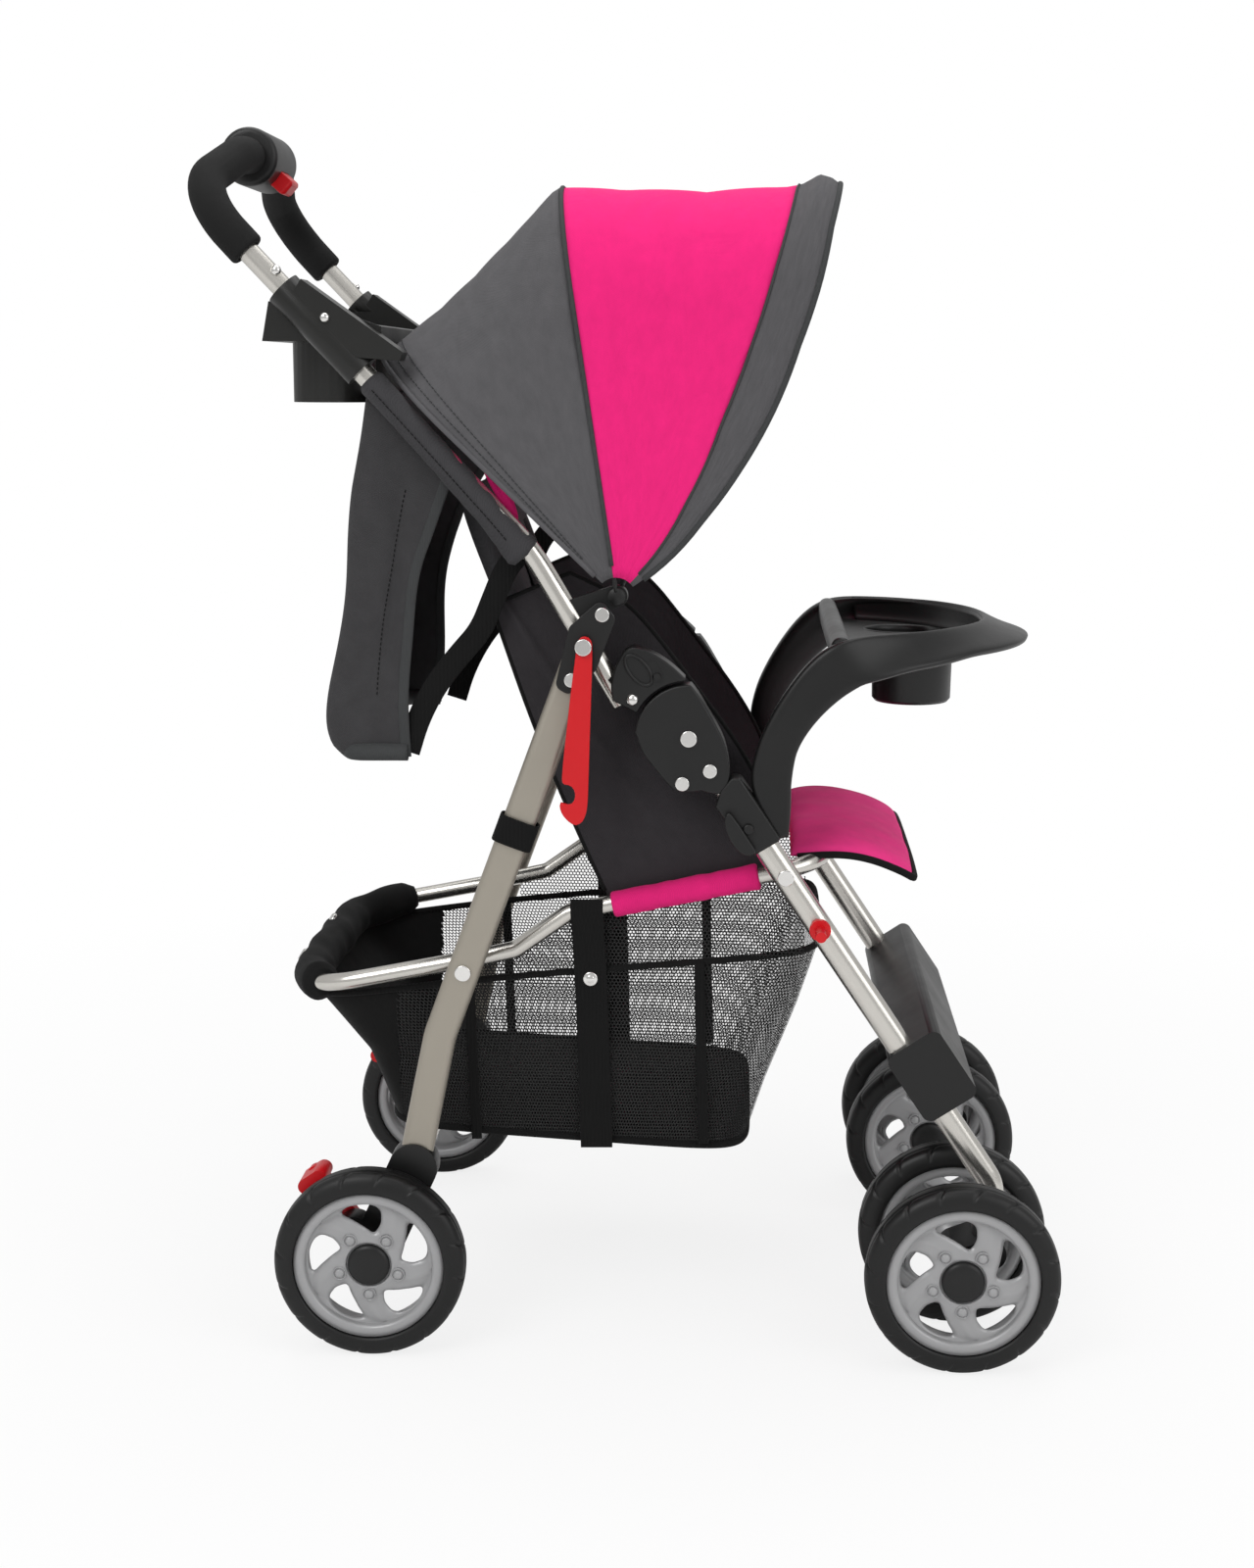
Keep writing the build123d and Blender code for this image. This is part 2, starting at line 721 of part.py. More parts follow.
def tray_arm():
    """Wide curved side arm from the clip post up to the tray's rear corner."""
    foot = along(post_at, arm_angle, 14.0)
    rear_foot = along(foot, arm_angle + 90, arm_w / 2)
    front_foot = along(foot, arm_angle - 90, arm_w - 2)
    x, z = bar_tray_x[0], bar_rim_z[0]
    back = Spline(rear_foot, (x - 62, z - 120), (x - 47, z - 59), (x - 34, z - 27), (x - 8, z))
    front = Spline((x + 37, z - 40), (x + 5, z - 59), (x - 14, z - 92), (x - 30, z - 129), front_foot)
    inside = (x + 37, z - 12)
    edges = back + Line(back @ 1, inside) + Line(inside, front @ 0) + front + Line(front_foot, rear_foot)
    return in_frame(make_face(edges), arm_t) - in_frame(post_shape(slide_fit), 2 * (post_half + slide_fit))


# Seat frame


def loop_points(side):
    lead_in = along(rail_split, seat_lean, -loop_end)
    return [upright(at, side * rail_y) for at in (loop_rear, loop_pivot, loop_knee, lead_in, rail_split)]


def basket_loop():
    points = loop_points(-1)[::-1] + loop_points(1)
    radii = [loop_end, loop_end, 120.0, loop_bend]
    tube = swept(points, radii + radii[::-1], ring(rail_d, rail_d - 2 * tube_wall))
    return tube - rod(loop_pivot, pin_d / 2 + running_fit, -rail_y - rail_d, rail_y + rail_d)


def seat_rail():
    slope = (seat_pivot[1] - rail_split[1]) / (seat_pivot[0] - rail_split[0])
    front = (rail_front_x, seat_pivot[1] + slope * (rail_front_x - seat_pivot[0]))
    right = [upright(rail_split, -rail_y), upright(front, -rail_y)]
    left = [upright(front, rail_y), upright(rail_split, rail_y)]
    return swept(right + left, loop_bend - 15.0, ring(rail_d, rail_d - 2 * tube_wall))


def seat_pad():
    rear = (seat_rear, seat_top - seat_t)
    front = along(rear, seat_lean, 158.0)
    shape = outline(rear, front, (front[0], front[1] + seat_t), (rear[0], rear[1] + seat_t))
    return slab(shape, -seat_half, seat_half)


def seat_side():
    return slab(outline(*side_back, *side_front), -side_y - side_t, -side_y)


def calf_flap():
    shape = outline(*flap_under, *flap_over)
    return slab(fillet(shape.vertices(), 3.5), -seat_half, seat_half)


def basket():
    """Cloth basket under the seat, open at the top."""
    rear_top = (loop_rear[0] + 6, loop_rear[1] - rail_d / 2 - 1.0)
    top_mid = (loop_pivot[0], loop_pivot[1] - rail_d / 2 - 1.0)
    shape = outline(rear_top, *basket_floor, *basket_front, top_mid)
    front_rim, high_rim = [along(at, 270, basket_lip) for at in basket_front[1:]]
    rim = (along(rear_top, 0, basket_lip), along(top_mid, 270, basket_lip), high_rim, along(front_rim, 180, basket_wall))
    above = [along(at, 90, cut_over) for at in (rim[-1], rim[0])]
    room = offset(shape, amount=-basket_wall) + outline(*rim, *above)
    inside = basket_half - basket_wall
    return slab(shape, -basket_half, basket_half) - slab(room, -inside, inside)


def upright_box(at, width, height):
    """Side-view rectangle standing on a point."""
    return Pos(*at) * Rectangle(width, height, align=(Align.MIN, Align.MIN))


def harness():
    """Crotch strap, buckle and two lap belts on the seat pad."""
    slope = (seat_pivot[1] - rail_split[1]) / (seat_pivot[0] - rail_split[0])
    base = (30.0, seat_top + slope * (30.0 - seat_rear) + 2 * belt_t * slope)
    top = (base[0], base[1] + strap_len)
    strap = slab(upright_box(base, belt_t, strap_len), -belt_w / 2, belt_w / 2)
    buckle = slab(upright_box(top, 14.0, 42.0), -buckle_half, buckle_half)
    belt = upright_box((top[0], top[1] + 10.0), belt_t, belt_w)
    reach = side_y - cloth_gap
    belts = [slab(belt, -reach, -buckle_half), slab(belt, buckle_half, reach)]
    return Compound(children=[strap, buckle] + belts)


def backrest():
    top = along(back_hinge, back_lean, back_len)
    return slab(capsule(back_hinge, top, back_t / 2), -back_half, back_half)


# Canopy


def bow_plane(angle):
    """Plane through the canopy pivots; local x is across, local y is away from them."""
    x, z = canopy_pivot
    outward = (cos(radians(angle)), 0, sin(radians(angle)))
    across = (0, 1, 0)
    normal = Vector(*across).cross(Vector(*outward))
    return Plane(origin=(x, 0, z), x_dir=across, z_dir=normal)


def hood_section(half, top, skin):
    """Arched strip of cloth, as a U with rounded shoulders."""
    def arch(w, h):
        corner = min(canopy_corner, w, h - canopy_start)
        return Pos(0, canopy_start) * RectangleRounded(2 * w, 2 * (h - canopy_start), corner)
    band = arch(half, top) - arch(half - skin, top - skin)
    return band & (Pos(0, canopy_start) * Rectangle(4 * half, 4 * top, align=(Align.CENTER, Align.MIN)))


def hood_panel(first, last, skin):
    """Cloth between two bow planes, each given by its angle and height."""
    low = bow_plane(first[0]) * hood_section(canopy_half, first[1], skin)
    high = bow_plane(last[0]) * hood_section(canopy_half, last[1], skin)
    return loft([low.face(), high.face()], ruled=True)


def bow(angle, top, eye_y, extra_pin):
    """Wire bow with an eye on each canopy pivot."""
    plane = bow_plane(angle)
    reach = canopy_half - canopy_skin - bow_d / 2 - 0.4
    crown = top - canopy_skin - bow_d / 2 - 0.4
    right = [(-eye_y, 5.0), (-eye_y, 20.0), (-reach, 62.0), (-reach, crown)]
    left = [(-across, out) for across, out in right[::-1]]
    points = [plane.from_local_coords((u, v, 0)) for u, v in right + left]
    corner = canopy_corner - canopy_skin - bow_d / 2
    wire = swept(points, [15.0, 30.0, corner, corner, 30.0, 15.0], Circle(bow_d / 2), across=plane.z_dir)
    for side in (-1, 1):
        low = side * eye_y - 1.5
        wire += rod(canopy_pivot, 7.5, low, low + 3.0)
        if extra_pin:
            ends = sorted((side * (frame_y - 10.2), side * eye_y))
            wire += rod(canopy_pivot, pin_d / 2, *ends)
        else:
            wire -= rod(canopy_pivot, pin_d / 2 + running_fit, low, low + 3.0)
    return wire


bow_eye_out = frame_y + 8.9
bow_eye_in = frame_y - 8.9


def canopy_pieces():
    rear, front = bow_angles
    rear_top, front_top = bow_tops
    back = (rear - panel_gap, rear_top)
    ahead = (front + panel_gap / 2, front_top)
    return {
        "canopy_rear_bow": bow(rear, rear_top, bow_eye_out, True),
        "canopy_front_bow": bow(front, front_top, bow_eye_in, False),
        "canopy_rear_panel": hood_panel(hood_back, (rear + panel_gap, rear_top - 1), canopy_skin),
        "canopy_mid_panel": hood_panel(back, ahead, canopy_skin),
        "canopy_rim": hood_panel((front - panel_gap / 2, front_top), hood_front, canopy_skin),
    }


def wheel_pieces():
    """Six wheels: a pair at each front caster and one at each rear leg."""
    pieces = {}
    hub_in = twin_spacing / 2 - fork_w / 2 - side_gap
    for side, name in ((-1, "right"), (1, "left")):
        for outward, where in ((side, "outer"), (-side, "inner")):
            y = side * frame_y + outward * twin_spacing / 2
            pieces[f"tyre_front_{name}_{where}"] = wheel_at(tyre(), front_hub_x, y, outward)
            hub = rim(front_axle_d, hub_in)
            pieces[f"rim_front_{name}_{where}"] = wheel_at(hub, front_hub_x, y, outward)
        rear_in = rear_wheel_y - axle_outer - side_gap
        y = side * rear_wheel_y
        pieces[f"tyre_rear_{name}"] = wheel_at(tyre(), rear_hub_x, y, side)
        pieces[f"rim_rear_{name}"] = wheel_at(rim(rear_axle_d, rear_in), rear_hub_x, y, side)
    return pieces


def sided(name, solid):
    """Right-hand solid and its left-hand twin as two nodes."""
    return {f"{name}_right": solid, f"{name}_left": mirror(solid, about=Plane.XZ)}


def all_nodes():
    nodes = {
        "rear_legs": pair(rear_leg()),
        "rear_cross_tube": rear_cross_tube(),
        "hinge_plates": pair(hinge_plate()),
        "axle_housings": pair(axle_housing()),
        "rear_axles": pair(rear_axle()),
        "rear_rivets": rear_rivets(),
        "handle_tube": handle_tube(),
        "foam_grips": pair(foam_grip()),
        "trigger_housing": trigger_housing(),
        "fold_trigger": fold_trigger(),
        "parent_tray": parent_tray(),
        "canopy_brackets": pair(canopy_bracket()),
        "lock_knuckles": pair(lock_knuckle()),
        "rear_drape": rear_drape(),
        "recline_straps": pair(recline_strap()),
        "front_legs": pair(front_leg_tube()),
        "footrest": footrest(),
        "lock_housings": pair(lock_housing()),
        "tray_clips": pair(tray_clip()),
        "fold_pin": fold_pin(),
        "front_rivets": front_rivets(),
        "caster_sockets": pair(caster_socket()),
        "child_tray": child_tray(),
        "fold_hook": fold_hook(),
        "basket_loop": basket_loop(),
        "seat_rail": seat_rail(),
        "seat_pad": seat_pad(),
        "seat_sides": pair(seat_side()),
        "calf_flap": calf_flap(),
        "basket": basket(),
        "harness": harness(),
        "backrest": backrest(),
    }
    nodes |= sided("caster_fork", caster_fork()) | sided("front_axle", front_axle())
    nodes |= sided("brake_pedal", brake_pedal()) | sided("tray_button", tray_button())
    nodes |= sided("lock_slider", lock_slider())
    nodes |= canopy_pieces() | wheel_pieces()
    return nodes


os.makedirs("parts", exist_ok=True)
for node_name, node_solid in all_nodes().items():
    export_step(node_solid, f"parts/{node_name}.step")
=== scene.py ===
import math
import bmesh
import bpy
import numpy as np
from mathutils import Matrix, Vector


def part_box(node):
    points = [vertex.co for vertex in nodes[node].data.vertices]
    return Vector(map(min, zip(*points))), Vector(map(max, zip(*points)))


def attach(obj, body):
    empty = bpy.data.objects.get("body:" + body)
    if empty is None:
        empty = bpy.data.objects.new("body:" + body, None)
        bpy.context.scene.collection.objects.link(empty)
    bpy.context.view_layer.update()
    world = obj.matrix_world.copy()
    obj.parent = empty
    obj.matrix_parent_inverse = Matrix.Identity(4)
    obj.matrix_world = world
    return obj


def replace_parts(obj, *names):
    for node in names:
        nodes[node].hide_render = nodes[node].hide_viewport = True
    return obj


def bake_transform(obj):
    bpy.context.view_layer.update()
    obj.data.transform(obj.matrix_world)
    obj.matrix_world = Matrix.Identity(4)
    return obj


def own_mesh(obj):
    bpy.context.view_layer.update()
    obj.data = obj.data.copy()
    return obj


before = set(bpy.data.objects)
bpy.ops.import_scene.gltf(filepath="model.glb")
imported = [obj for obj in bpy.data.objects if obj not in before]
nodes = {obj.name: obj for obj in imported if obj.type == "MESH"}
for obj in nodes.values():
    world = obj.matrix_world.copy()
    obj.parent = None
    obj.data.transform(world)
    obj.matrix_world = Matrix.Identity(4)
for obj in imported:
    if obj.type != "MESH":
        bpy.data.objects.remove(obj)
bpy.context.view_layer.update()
scene = bpy.context.scene
bothSides = (("right", -1), ("left", 1))
print("frame loaded:", len(nodes), "nodes")


# even turns round a full circle, the last one short of the first
def fullTurn(count):
    return np.linspace(0, 2 * np.pi, count, endpoint=False)


# a sine or cosine pressed towards a square, as in a superellipse
def squared(value, power):
    return np.sign(value) * np.abs(value) ** power


# each row scaled to length one
def unitRows(rows):
    return rows / np.linalg.norm(rows, axis=1, keepdims=True)


# running length of a polyline up to each of its points
def lengthsAlong(line):
    return np.concatenate([[0], np.cumsum(np.linalg.norm(np.diff(line, axis=0), axis=1))])


# points of a polyline at given running lengths, straight between its own points
def pointsAt(line, lengths, run):
    return np.stack([np.interp(run, lengths, line[:, k]) for k in range(line.shape[1])], -1)


# a rectangular grid of points in millimetres becomes a quad mesh; wrapU or wrapV joins its ends
def gridMesh(name, points, wrapU=False, wrapV=False, flip=False, uv=None):
    countU, countV = points.shape[:2]
    index = np.arange(countU * countV).reshape(countU, countV)
    if wrapU:
        index = np.vstack([index, index[:1]])
    if wrapV:
        index = np.hstack([index, index[:, :1]])
    quads = np.stack([index[:-1, :-1], index[1:, :-1], index[1:, 1:], index[:-1, 1:]], -1).reshape(-1, 4)
    if flip:
        quads = quads[:, ::-1]
    mesh = bpy.data.meshes.new(name)
    mesh.from_pydata((points.reshape(-1, 3) * 0.001).tolist(), [], quads.tolist())
    if uv is not None:
        layer = mesh.uv_layers.new(name="UVMap")
        flat = (uv.reshape(-1, 2) * 0.001)[quads.reshape(-1)]
        layer.data.foreach_set("uv", flat.astype(np.float32).ravel())
    mesh.polygons.foreach_set("use_smooth", np.ones(len(quads), bool))
    mesh.update()
    obj = bpy.data.objects.new(name, mesh)
    scene.collection.objects.link(obj)
    return obj


# several meshes become one, in the order given
def joinPieces(name, pieces):
    bpy.ops.object.select_all(action="DESELECT")
    for piece in pieces:
        piece.select_set(True)
    bpy.context.view_layer.objects.active = pieces[0]
    if len(pieces) > 1:
        bpy.ops.object.join()
    pieces[0].name = name
    pieces[0].data.name = name
    return pieces[0]


# doubled points are merged; closed shapes get outward faces, open ones are turned to a given direction
def outwardFaces(obj, facing=None):
    work = bmesh.new()
    work.from_mesh(obj.data)
    bmesh.ops.remove_doubles(work, verts=work.verts, dist=1e-6)
    if facing is None:
        bmesh.ops.recalc_face_normals(work, faces=work.faces)
    else:
        total = Vector((0, 0, 0))
        for face in work.faces:
            total += face.normal * face.calc_area()
        if total.dot(Vector(facing)) < 0:
            bmesh.ops.reverse_faces(work, faces=work.faces)
    work.to_mesh(obj.data)
    work.free()
    return obj


# cloth or sheet thickness in millimetres, to one side of the surface or, at offset 0, to both
def addWall(obj, thickness, offset=-1.0):
    wall = obj.modifiers.new("wall", "SOLIDIFY")
    wall.thickness = thickness * 0.001
    wall.offset = offset
    wall.use_even_offset = True
    return obj


# the surface is subdivided and smoothed
def addSmooth(obj, level=1):
    smooth = obj.modifiers.new("smooth", "SUBSURF")
    smooth.levels = level
    smooth.render_levels = level
    return obj


# edges sharper than the limit in degrees get a small round of the given width in millimetres
def addBevel(obj, width, limit):
    edge = obj.modifiers.new("edge", "BEVEL")
    edge.width = width * 0.001
    edge.segments = 3
    edge.limit_method = "ANGLE"
    edge.angle_limit = math.radians(limit)
    edge.harden_normals = True
    return obj


# a polyline is rounded by cutting its corners, then resampled to evenly spaced points
def smoothPath(points, count=60, rounds=3):
    points = np.asarray(points, float)
    for cut in range(rounds):
        inner = np.empty((2 * (len(points) - 1), points.shape[1]))
        inner[0::2] = 0.75 * points[:-1] + 0.25 * points[1:]
        inner[1::2] = 0.25 * points[:-1] + 0.75 * points[1:]
        points = np.vstack([points[:1], inner, points[-1:]])
    lengths = lengthsAlong(points)
    return pointsAt(points, lengths, np.linspace(0, lengths[-1], count))


# the same for a closed outline, without its last point, which is the first again
def smoothLoop(points, count, rounds=2):
    return smoothPath(points + points[:1], count, rounds)[:-1]


# a closed section (across, up) is carried along a path, with "across" held near the given side direction
def carry(name, path, section, side=(0, 1, 0)):
    path = np.asarray(path, float)
    section = np.asarray(section, float)
    run = unitRows(np.gradient(path, axis=0))
    side = np.broadcast_to(np.asarray(side, float), path.shape)
    side = unitRows(side - run * np.sum(side * run, axis=1, keepdims=True))
    up = np.cross(run, side)
    if section.ndim == 2:
        section = np.broadcast_to(section, (len(path),) + section.shape)
    points = path[:, None] + section[..., :1] * side[:, None] + section[..., 1:] * up[:, None]
    start = points[:1].mean(axis=1, keepdims=True).repeat(points.shape[1], 1)
    end = points[-1:].mean(axis=1, keepdims=True).repeat(points.shape[1], 1)
    points = np.concatenate([start, points, end])
    return outwardFaces(gridMesh(name, points, wrapV=True))


# a profile of (radius, along) points is turned about an axis through a centre
def turned(name, profile, centre, axis, count=40, closed=False):
    axis = np.asarray(axis, float) / np.linalg.norm(axis)
    helper = np.array([0, 0, 1.0]) if abs(axis[2]) < 0.8 else np.array([1.0, 0, 0])
    first = np.cross(axis, helper)
    first /= np.linalg.norm(first)
    second = np.cross(axis, first)
    turn = fullTurn(count)
    ring = np.cos(turn)[:, None] * first + np.sin(turn)[:, None] * second
    profile = np.asarray(profile, float)
    points = np.asarray(centre, float) + profile[:, 0, None, None] * ring + profile[:, 1, None, None] * axis
    return outwardFaces(gridMesh(name, points, wrapU=closed, wrapV=True))


# circle of the given radius
def circleSection(radius, count=16):
    turn = fullTurn(count)
    return np.stack([radius * np.cos(turn), radius * np.sin(turn)], -1)


# rounded box section: a superellipse of the given full width and height
def boxSection(width, height, power=0.42, count=28):
    turn = fullTurn(count)
    across, up = squared(np.cos(turn), power), squared(np.sin(turn), power)
    return np.stack([width / 2 * across, height / 2 * up], -1)


# round sections with a radius for each step of a path, times a gather for each step and turn
def gatheredSection(radius, gather, turn):
    return np.stack([np.cos(turn), np.sin(turn)], -1)[None] * (radius[:, None] * gather)[..., None]


# flat strap section with round edges, width across and thickness up
def strapSection(width, thickness, count=6):
    turn = np.linspace(-np.pi / 2, np.pi / 2, count)
    half = width / 2 - thickness / 2
    right = np.stack([half + thickness / 2 * np.cos(turn), thickness / 2 * np.sin(turn)], -1)
    return np.vstack([right, -right])


# short raised threads laid end to end along a line of points, lifted off the cloth by the given step
def stitchRow(name, line, lift, pitch=4.2, thread=0.45):
    lengths = lengthsAlong(line)
    rise = np.asarray(lift) * np.sin(np.linspace(0.25, np.pi - 0.25, 5))[:, None]
    pieces = []
    for start in np.arange(0, lengths[-1] - pitch, pitch):
        path = pointsAt(line, lengths, np.linspace(start, start + 0.68 * pitch, 5)) + rise
        pieces.append(carry(name, path, circleSection(thread, 6), side=(0.31, 0.92, 0.24)))
    return joinPieces(name, pieces)


# smooth repeatable ripple: a sum of sines with fixed phases
def ripple(a, b, size, seed=0.0):
    first = np.sin(a * 6.1 / size + 1.3 * np.sin(b * 3.7 / size + seed) + seed)
    second = np.sin(b * 5.3 / size + 1.7 * np.sin(a * 2.9 / size + 2.1 * seed) + 0.7)
    third = np.sin((a + 0.6 * b) * 9.7 / size + seed * 3.1)
    return (first + second + 0.5 * third) / 2.5


# joins an output to an input
def link(tree, a, b):
    tree.links.new(a, b)


# new node with its inputs set by name or by i0, i1: a socket is linked, any other value is written in
def addNode(tree, kind, settings=None, **inputs):
    node = tree.nodes.new(kind)
    for key, value in (settings or {}).items():
        setattr(node, key, value)
    for key, value in inputs.items():
        byNumber = key[0] == "i" and key[1:].isdigit()
        socket = node.inputs[int(key[1:])] if byNumber else node.inputs[key.replace("_", " ")]
        if isinstance(value, bpy.types.NodeSocket):
            link(tree, value, socket)
        else:
            socket.default_value = value
    return node


# result of a Math node on the given values
def mathNode(tree, operation, *values):
    inputs = {f"i{k}": value for k, value in enumerate(values)}
    return addNode(tree, "ShaderNodeMath", {"operation": operation}, **inputs).outputs[0]


# an empty node group with named inputs and outputs
def newGroup(name, inputs, outputs):
    group = bpy.data.node_groups.new(name, "ShaderNodeTree")
    for label, kind, value in inputs:
        socket = group.interface.new_socket(name=label, in_out="INPUT", socket_type=kind)
        if value is not None:
            socket.default_value = value
    for label, kind in outputs:
        group.interface.new_socket(name=label, in_out="OUTPUT", socket_type=kind)
    return group, group.nodes.new("NodeGroupInput"), group.nodes.new("NodeGroupOutput")


# plain weave: two crossed sets of rounded threads; height is the product of their sines, shade is slow noise
def makeWeaveGroup():
    inputs = [("Vector", "NodeSocketVector", None), ("Threads", "NodeSocketFloat", 900.0),
              ("Uneven", "NodeSocketFloat", 0.25)]
    outputs = [(label, "NodeSocketFloat") for label in ("Height", "Shade", "Crease")]
    group, given, out = newGroup("weave", inputs, outputs)
    parts = addNode(group, "ShaderNodeSeparateXYZ", Vector=given.outputs["Vector"])
    waves = []
    for axis in ("X", "Y"):
        turns = mathNode(group, "MULTIPLY", parts.outputs[axis], given.outputs["Threads"])
        waves.append(mathNode(group, "SINE", mathNode(group, "MULTIPLY", turns, math.pi)))
    both = mathNode(group, "MULTIPLY", waves[0], waves[1])
    slow = addNode(group, "ShaderNodeTexNoise", Vector=given.outputs["Vector"], Scale=55.0, Detail=4.0,
                   Roughness=0.6)
    fine = addNode(group, "ShaderNodeTexNoise", Vector=given.outputs["Vector"], Scale=900.0, Detail=2.0)
    soft = addNode(group, "ShaderNodeTexNoise", Vector=given.outputs["Vector"], Scale=16.0, Detail=3.0,
                   Distortion=0.8)
    mixed = mathNode(group, "MULTIPLY_ADD", fine.outputs["Fac"], 0.5, slow.outputs["Fac"])
    centred = mathNode(group, "SUBTRACT", mixed, 0.75)
    shade = mathNode(group, "MULTIPLY_ADD", centred, given.outputs["Uneven"], 1.0)
    threads = mathNode(group, "MULTIPLY_ADD", both, 0.10, shade)
    link(group, both, out.inputs["Height"])
    link(group, threads, out.inputs["Shade"])
    link(group, soft.outputs["Fac"], out.inputs["Crease"])
    return group


# moulded or cast grain: fine noise for height, slow noise for shade and roughness
def makeGrainGroup():
    inputs = [("Scale", "NodeSocketFloat", 900.0), ("Uneven", "NodeSocketFloat", 0.2)]
    outputs = [(label, "NodeSocketFloat") for label in ("Height", "Shade", "Dull")]
    group, given, out = newGroup("grain", inputs, outputs)
    place = addNode(group, "ShaderNodeTexCoord")
    fine = addNode(group, "ShaderNodeTexNoise", Vector=place.outputs["Object"], Scale=given.outputs["Scale"],
                   Detail=3.0)
    slow = addNode(group, "ShaderNodeTexNoise", Vector=place.outputs["Object"], Scale=18.0, Detail=6.0,
                   Roughness=0.65)
    centred = mathNode(group, "SUBTRACT", slow.outputs["Fac"], 0.5)
    shade = mathNode(group, "MULTIPLY_ADD", centred, given.outputs["Uneven"], 1.0)
    dull = mathNode(group, "MULTIPLY", centred, given.outputs["Uneven"])
    link(group, fine.outputs["Fac"], out.inputs["Height"])
    link(group, shade, out.inputs["Shade"])
    link(group, dull, out.inputs["Dull"])
    return group


# netting mask: round holes on a six-sided grid, from the nearer of two offset lattices of 1 by root three
def makeNetGroup():
    inputs = [("Vector", "NodeSocketVector", None), ("Pitch", "NodeSocketFloat", 0.0034),
              ("Hole", "NodeSocketFloat", 0.41)]
    group, given, out = newGroup("net", inputs, [("Solid", "NodeSocketFloat")])
    parts = addNode(group, "ShaderNodeSeparateXYZ", Vector=given.outputs["Vector"])
    u = mathNode(group, "DIVIDE", parts.outputs["X"], given.outputs["Pitch"])
    rows = mathNode(group, "DIVIDE", parts.outputs["Y"], given.outputs["Pitch"])
    v = mathNode(group, "DIVIDE", rows, math.sqrt(3))
    reach = []
    for shift in (0.0, 0.5):
        a = mathNode(group, "SUBTRACT", mathNode(group, "FRACT", mathNode(group, "ADD", u, shift)), 0.5)
        b = mathNode(group, "SUBTRACT", mathNode(group, "FRACT", mathNode(group, "ADD", v, shift)), 0.5)
        b = mathNode(group, "MULTIPLY", b, math.sqrt(3))
        squares = [mathNode(group, "MULTIPLY", value, value) for value in (a, b)]
        reach.append(mathNode(group, "SQRT", mathNode(group, "ADD", *squares)))
    nearest = mathNode(group, "MINIMUM", reach[0], reach[1])
    link(group, mathNode(group, "GREATER_THAN", nearest, given.outputs["Hole"]), out.inputs["Solid"])
    return group


weaveGroup = makeWeaveGroup()
grainGroup = makeGrainGroup()
netGroup = makeNetGroup()


# a new material with one Principled shader
def startMaterial(name):
    material = bpy.data.materials.new(name)
    material.use_nodes = True
    tree = material.node_tree
    tree.nodes.clear()
    out = tree.nodes.new("ShaderNodeOutputMaterial")
    shader = tree.nodes.new("ShaderNodeBsdfPrincipled")
    link(tree, shader.outputs[0], out.inputs["Surface"])
    return material, tree, shader, out


# a colour times a grey shade
def tinted(tree, colour, shade):
    mix = addNode(tree, "ShaderNodeMix", {"data_type": "RGBA", "blend_type": "MULTIPLY"})
    mix.inputs[0].default_value = 1.0
    mix.inputs[6].default_value = (*colour, 1.0)
    gray = addNode(tree, "ShaderNodeCombineColor", i0=shade, i1=shade, i2=shade)
    link(tree, gray.outputs[0], mix.inputs[7])
    return mix.outputs[2]


# cloth: weave on the piece's own UV, or on object coordinates for stuffed pieces, over soft creases
def clothMaterial(name, colour, threads=1400.0, uneven=0.25, bump=0.25, sheen=0.04, onUv=True, rough=0.85,
                  crease=0.25):
    material, tree, shader, out = startMaterial(name)
    place = addNode(tree, "ShaderNodeTexCoord")
    flat = place.outputs["UV" if onUv else "Object"]
    weave = addNode(tree, "ShaderNodeGroup", {"node_tree": weaveGroup}, Vector=flat, Threads=threads,
                    Uneven=uneven)
    link(tree, tinted(tree, colour, weave.outputs["Shade"]), shader.inputs["Base Color"])
    shader.inputs["Roughness"].default_value = rough
    shader.inputs["Specular IOR Level"].default_value = 0.12
    shader.inputs["Sheen Weight"].default_value = sheen
    shader.inputs["Sheen Roughness"].default_value = 0.5
    folds = addNode(tree, "ShaderNodeBump", Height=weave.outputs["Crease"], Strength=crease, Distance=0.008)
    lift = addNode(tree, "ShaderNodeBump", Height=weave.outputs["Height"], Strength=bump, Distance=0.0003,
                   Normal=folds.outputs[0])
    link(tree, lift.outputs[0], shader.inputs["Normal"])
    return material


# plastic, paint, rubber and metal share the grain group with their own values
def hardMaterial(name, colour, rough=0.5, metal=0.0, grain=900.0, uneven=0.25, bump=0.15, depth=0.0002,
                 coat=0.0, level=0.35):
    material, tree, shader, out = startMaterial(name)
    texture = addNode(tree, "ShaderNodeGroup", {"node_tree": grainGroup}, Scale=grain, Uneven=uneven)
    link(tree, tinted(tree, colour, texture.outputs["Shade"]), shader.inputs["Base Color"])
    link(tree, mathNode(tree, "ADD", texture.outputs["Dull"], rough), shader.inputs["Roughness"])
    shader.inputs["Metallic"].default_value = metal
    shader.inputs["Coat Weight"].default_value = coat
    shader.inputs["Specular IOR Level"].default_value = level
    lift = addNode(tree, "ShaderNodeBump", Height=texture.outputs["Height"], Strength=bump, Distance=depth)
    link(tree, lift.outputs[0], shader.inputs["Normal"])
    return material


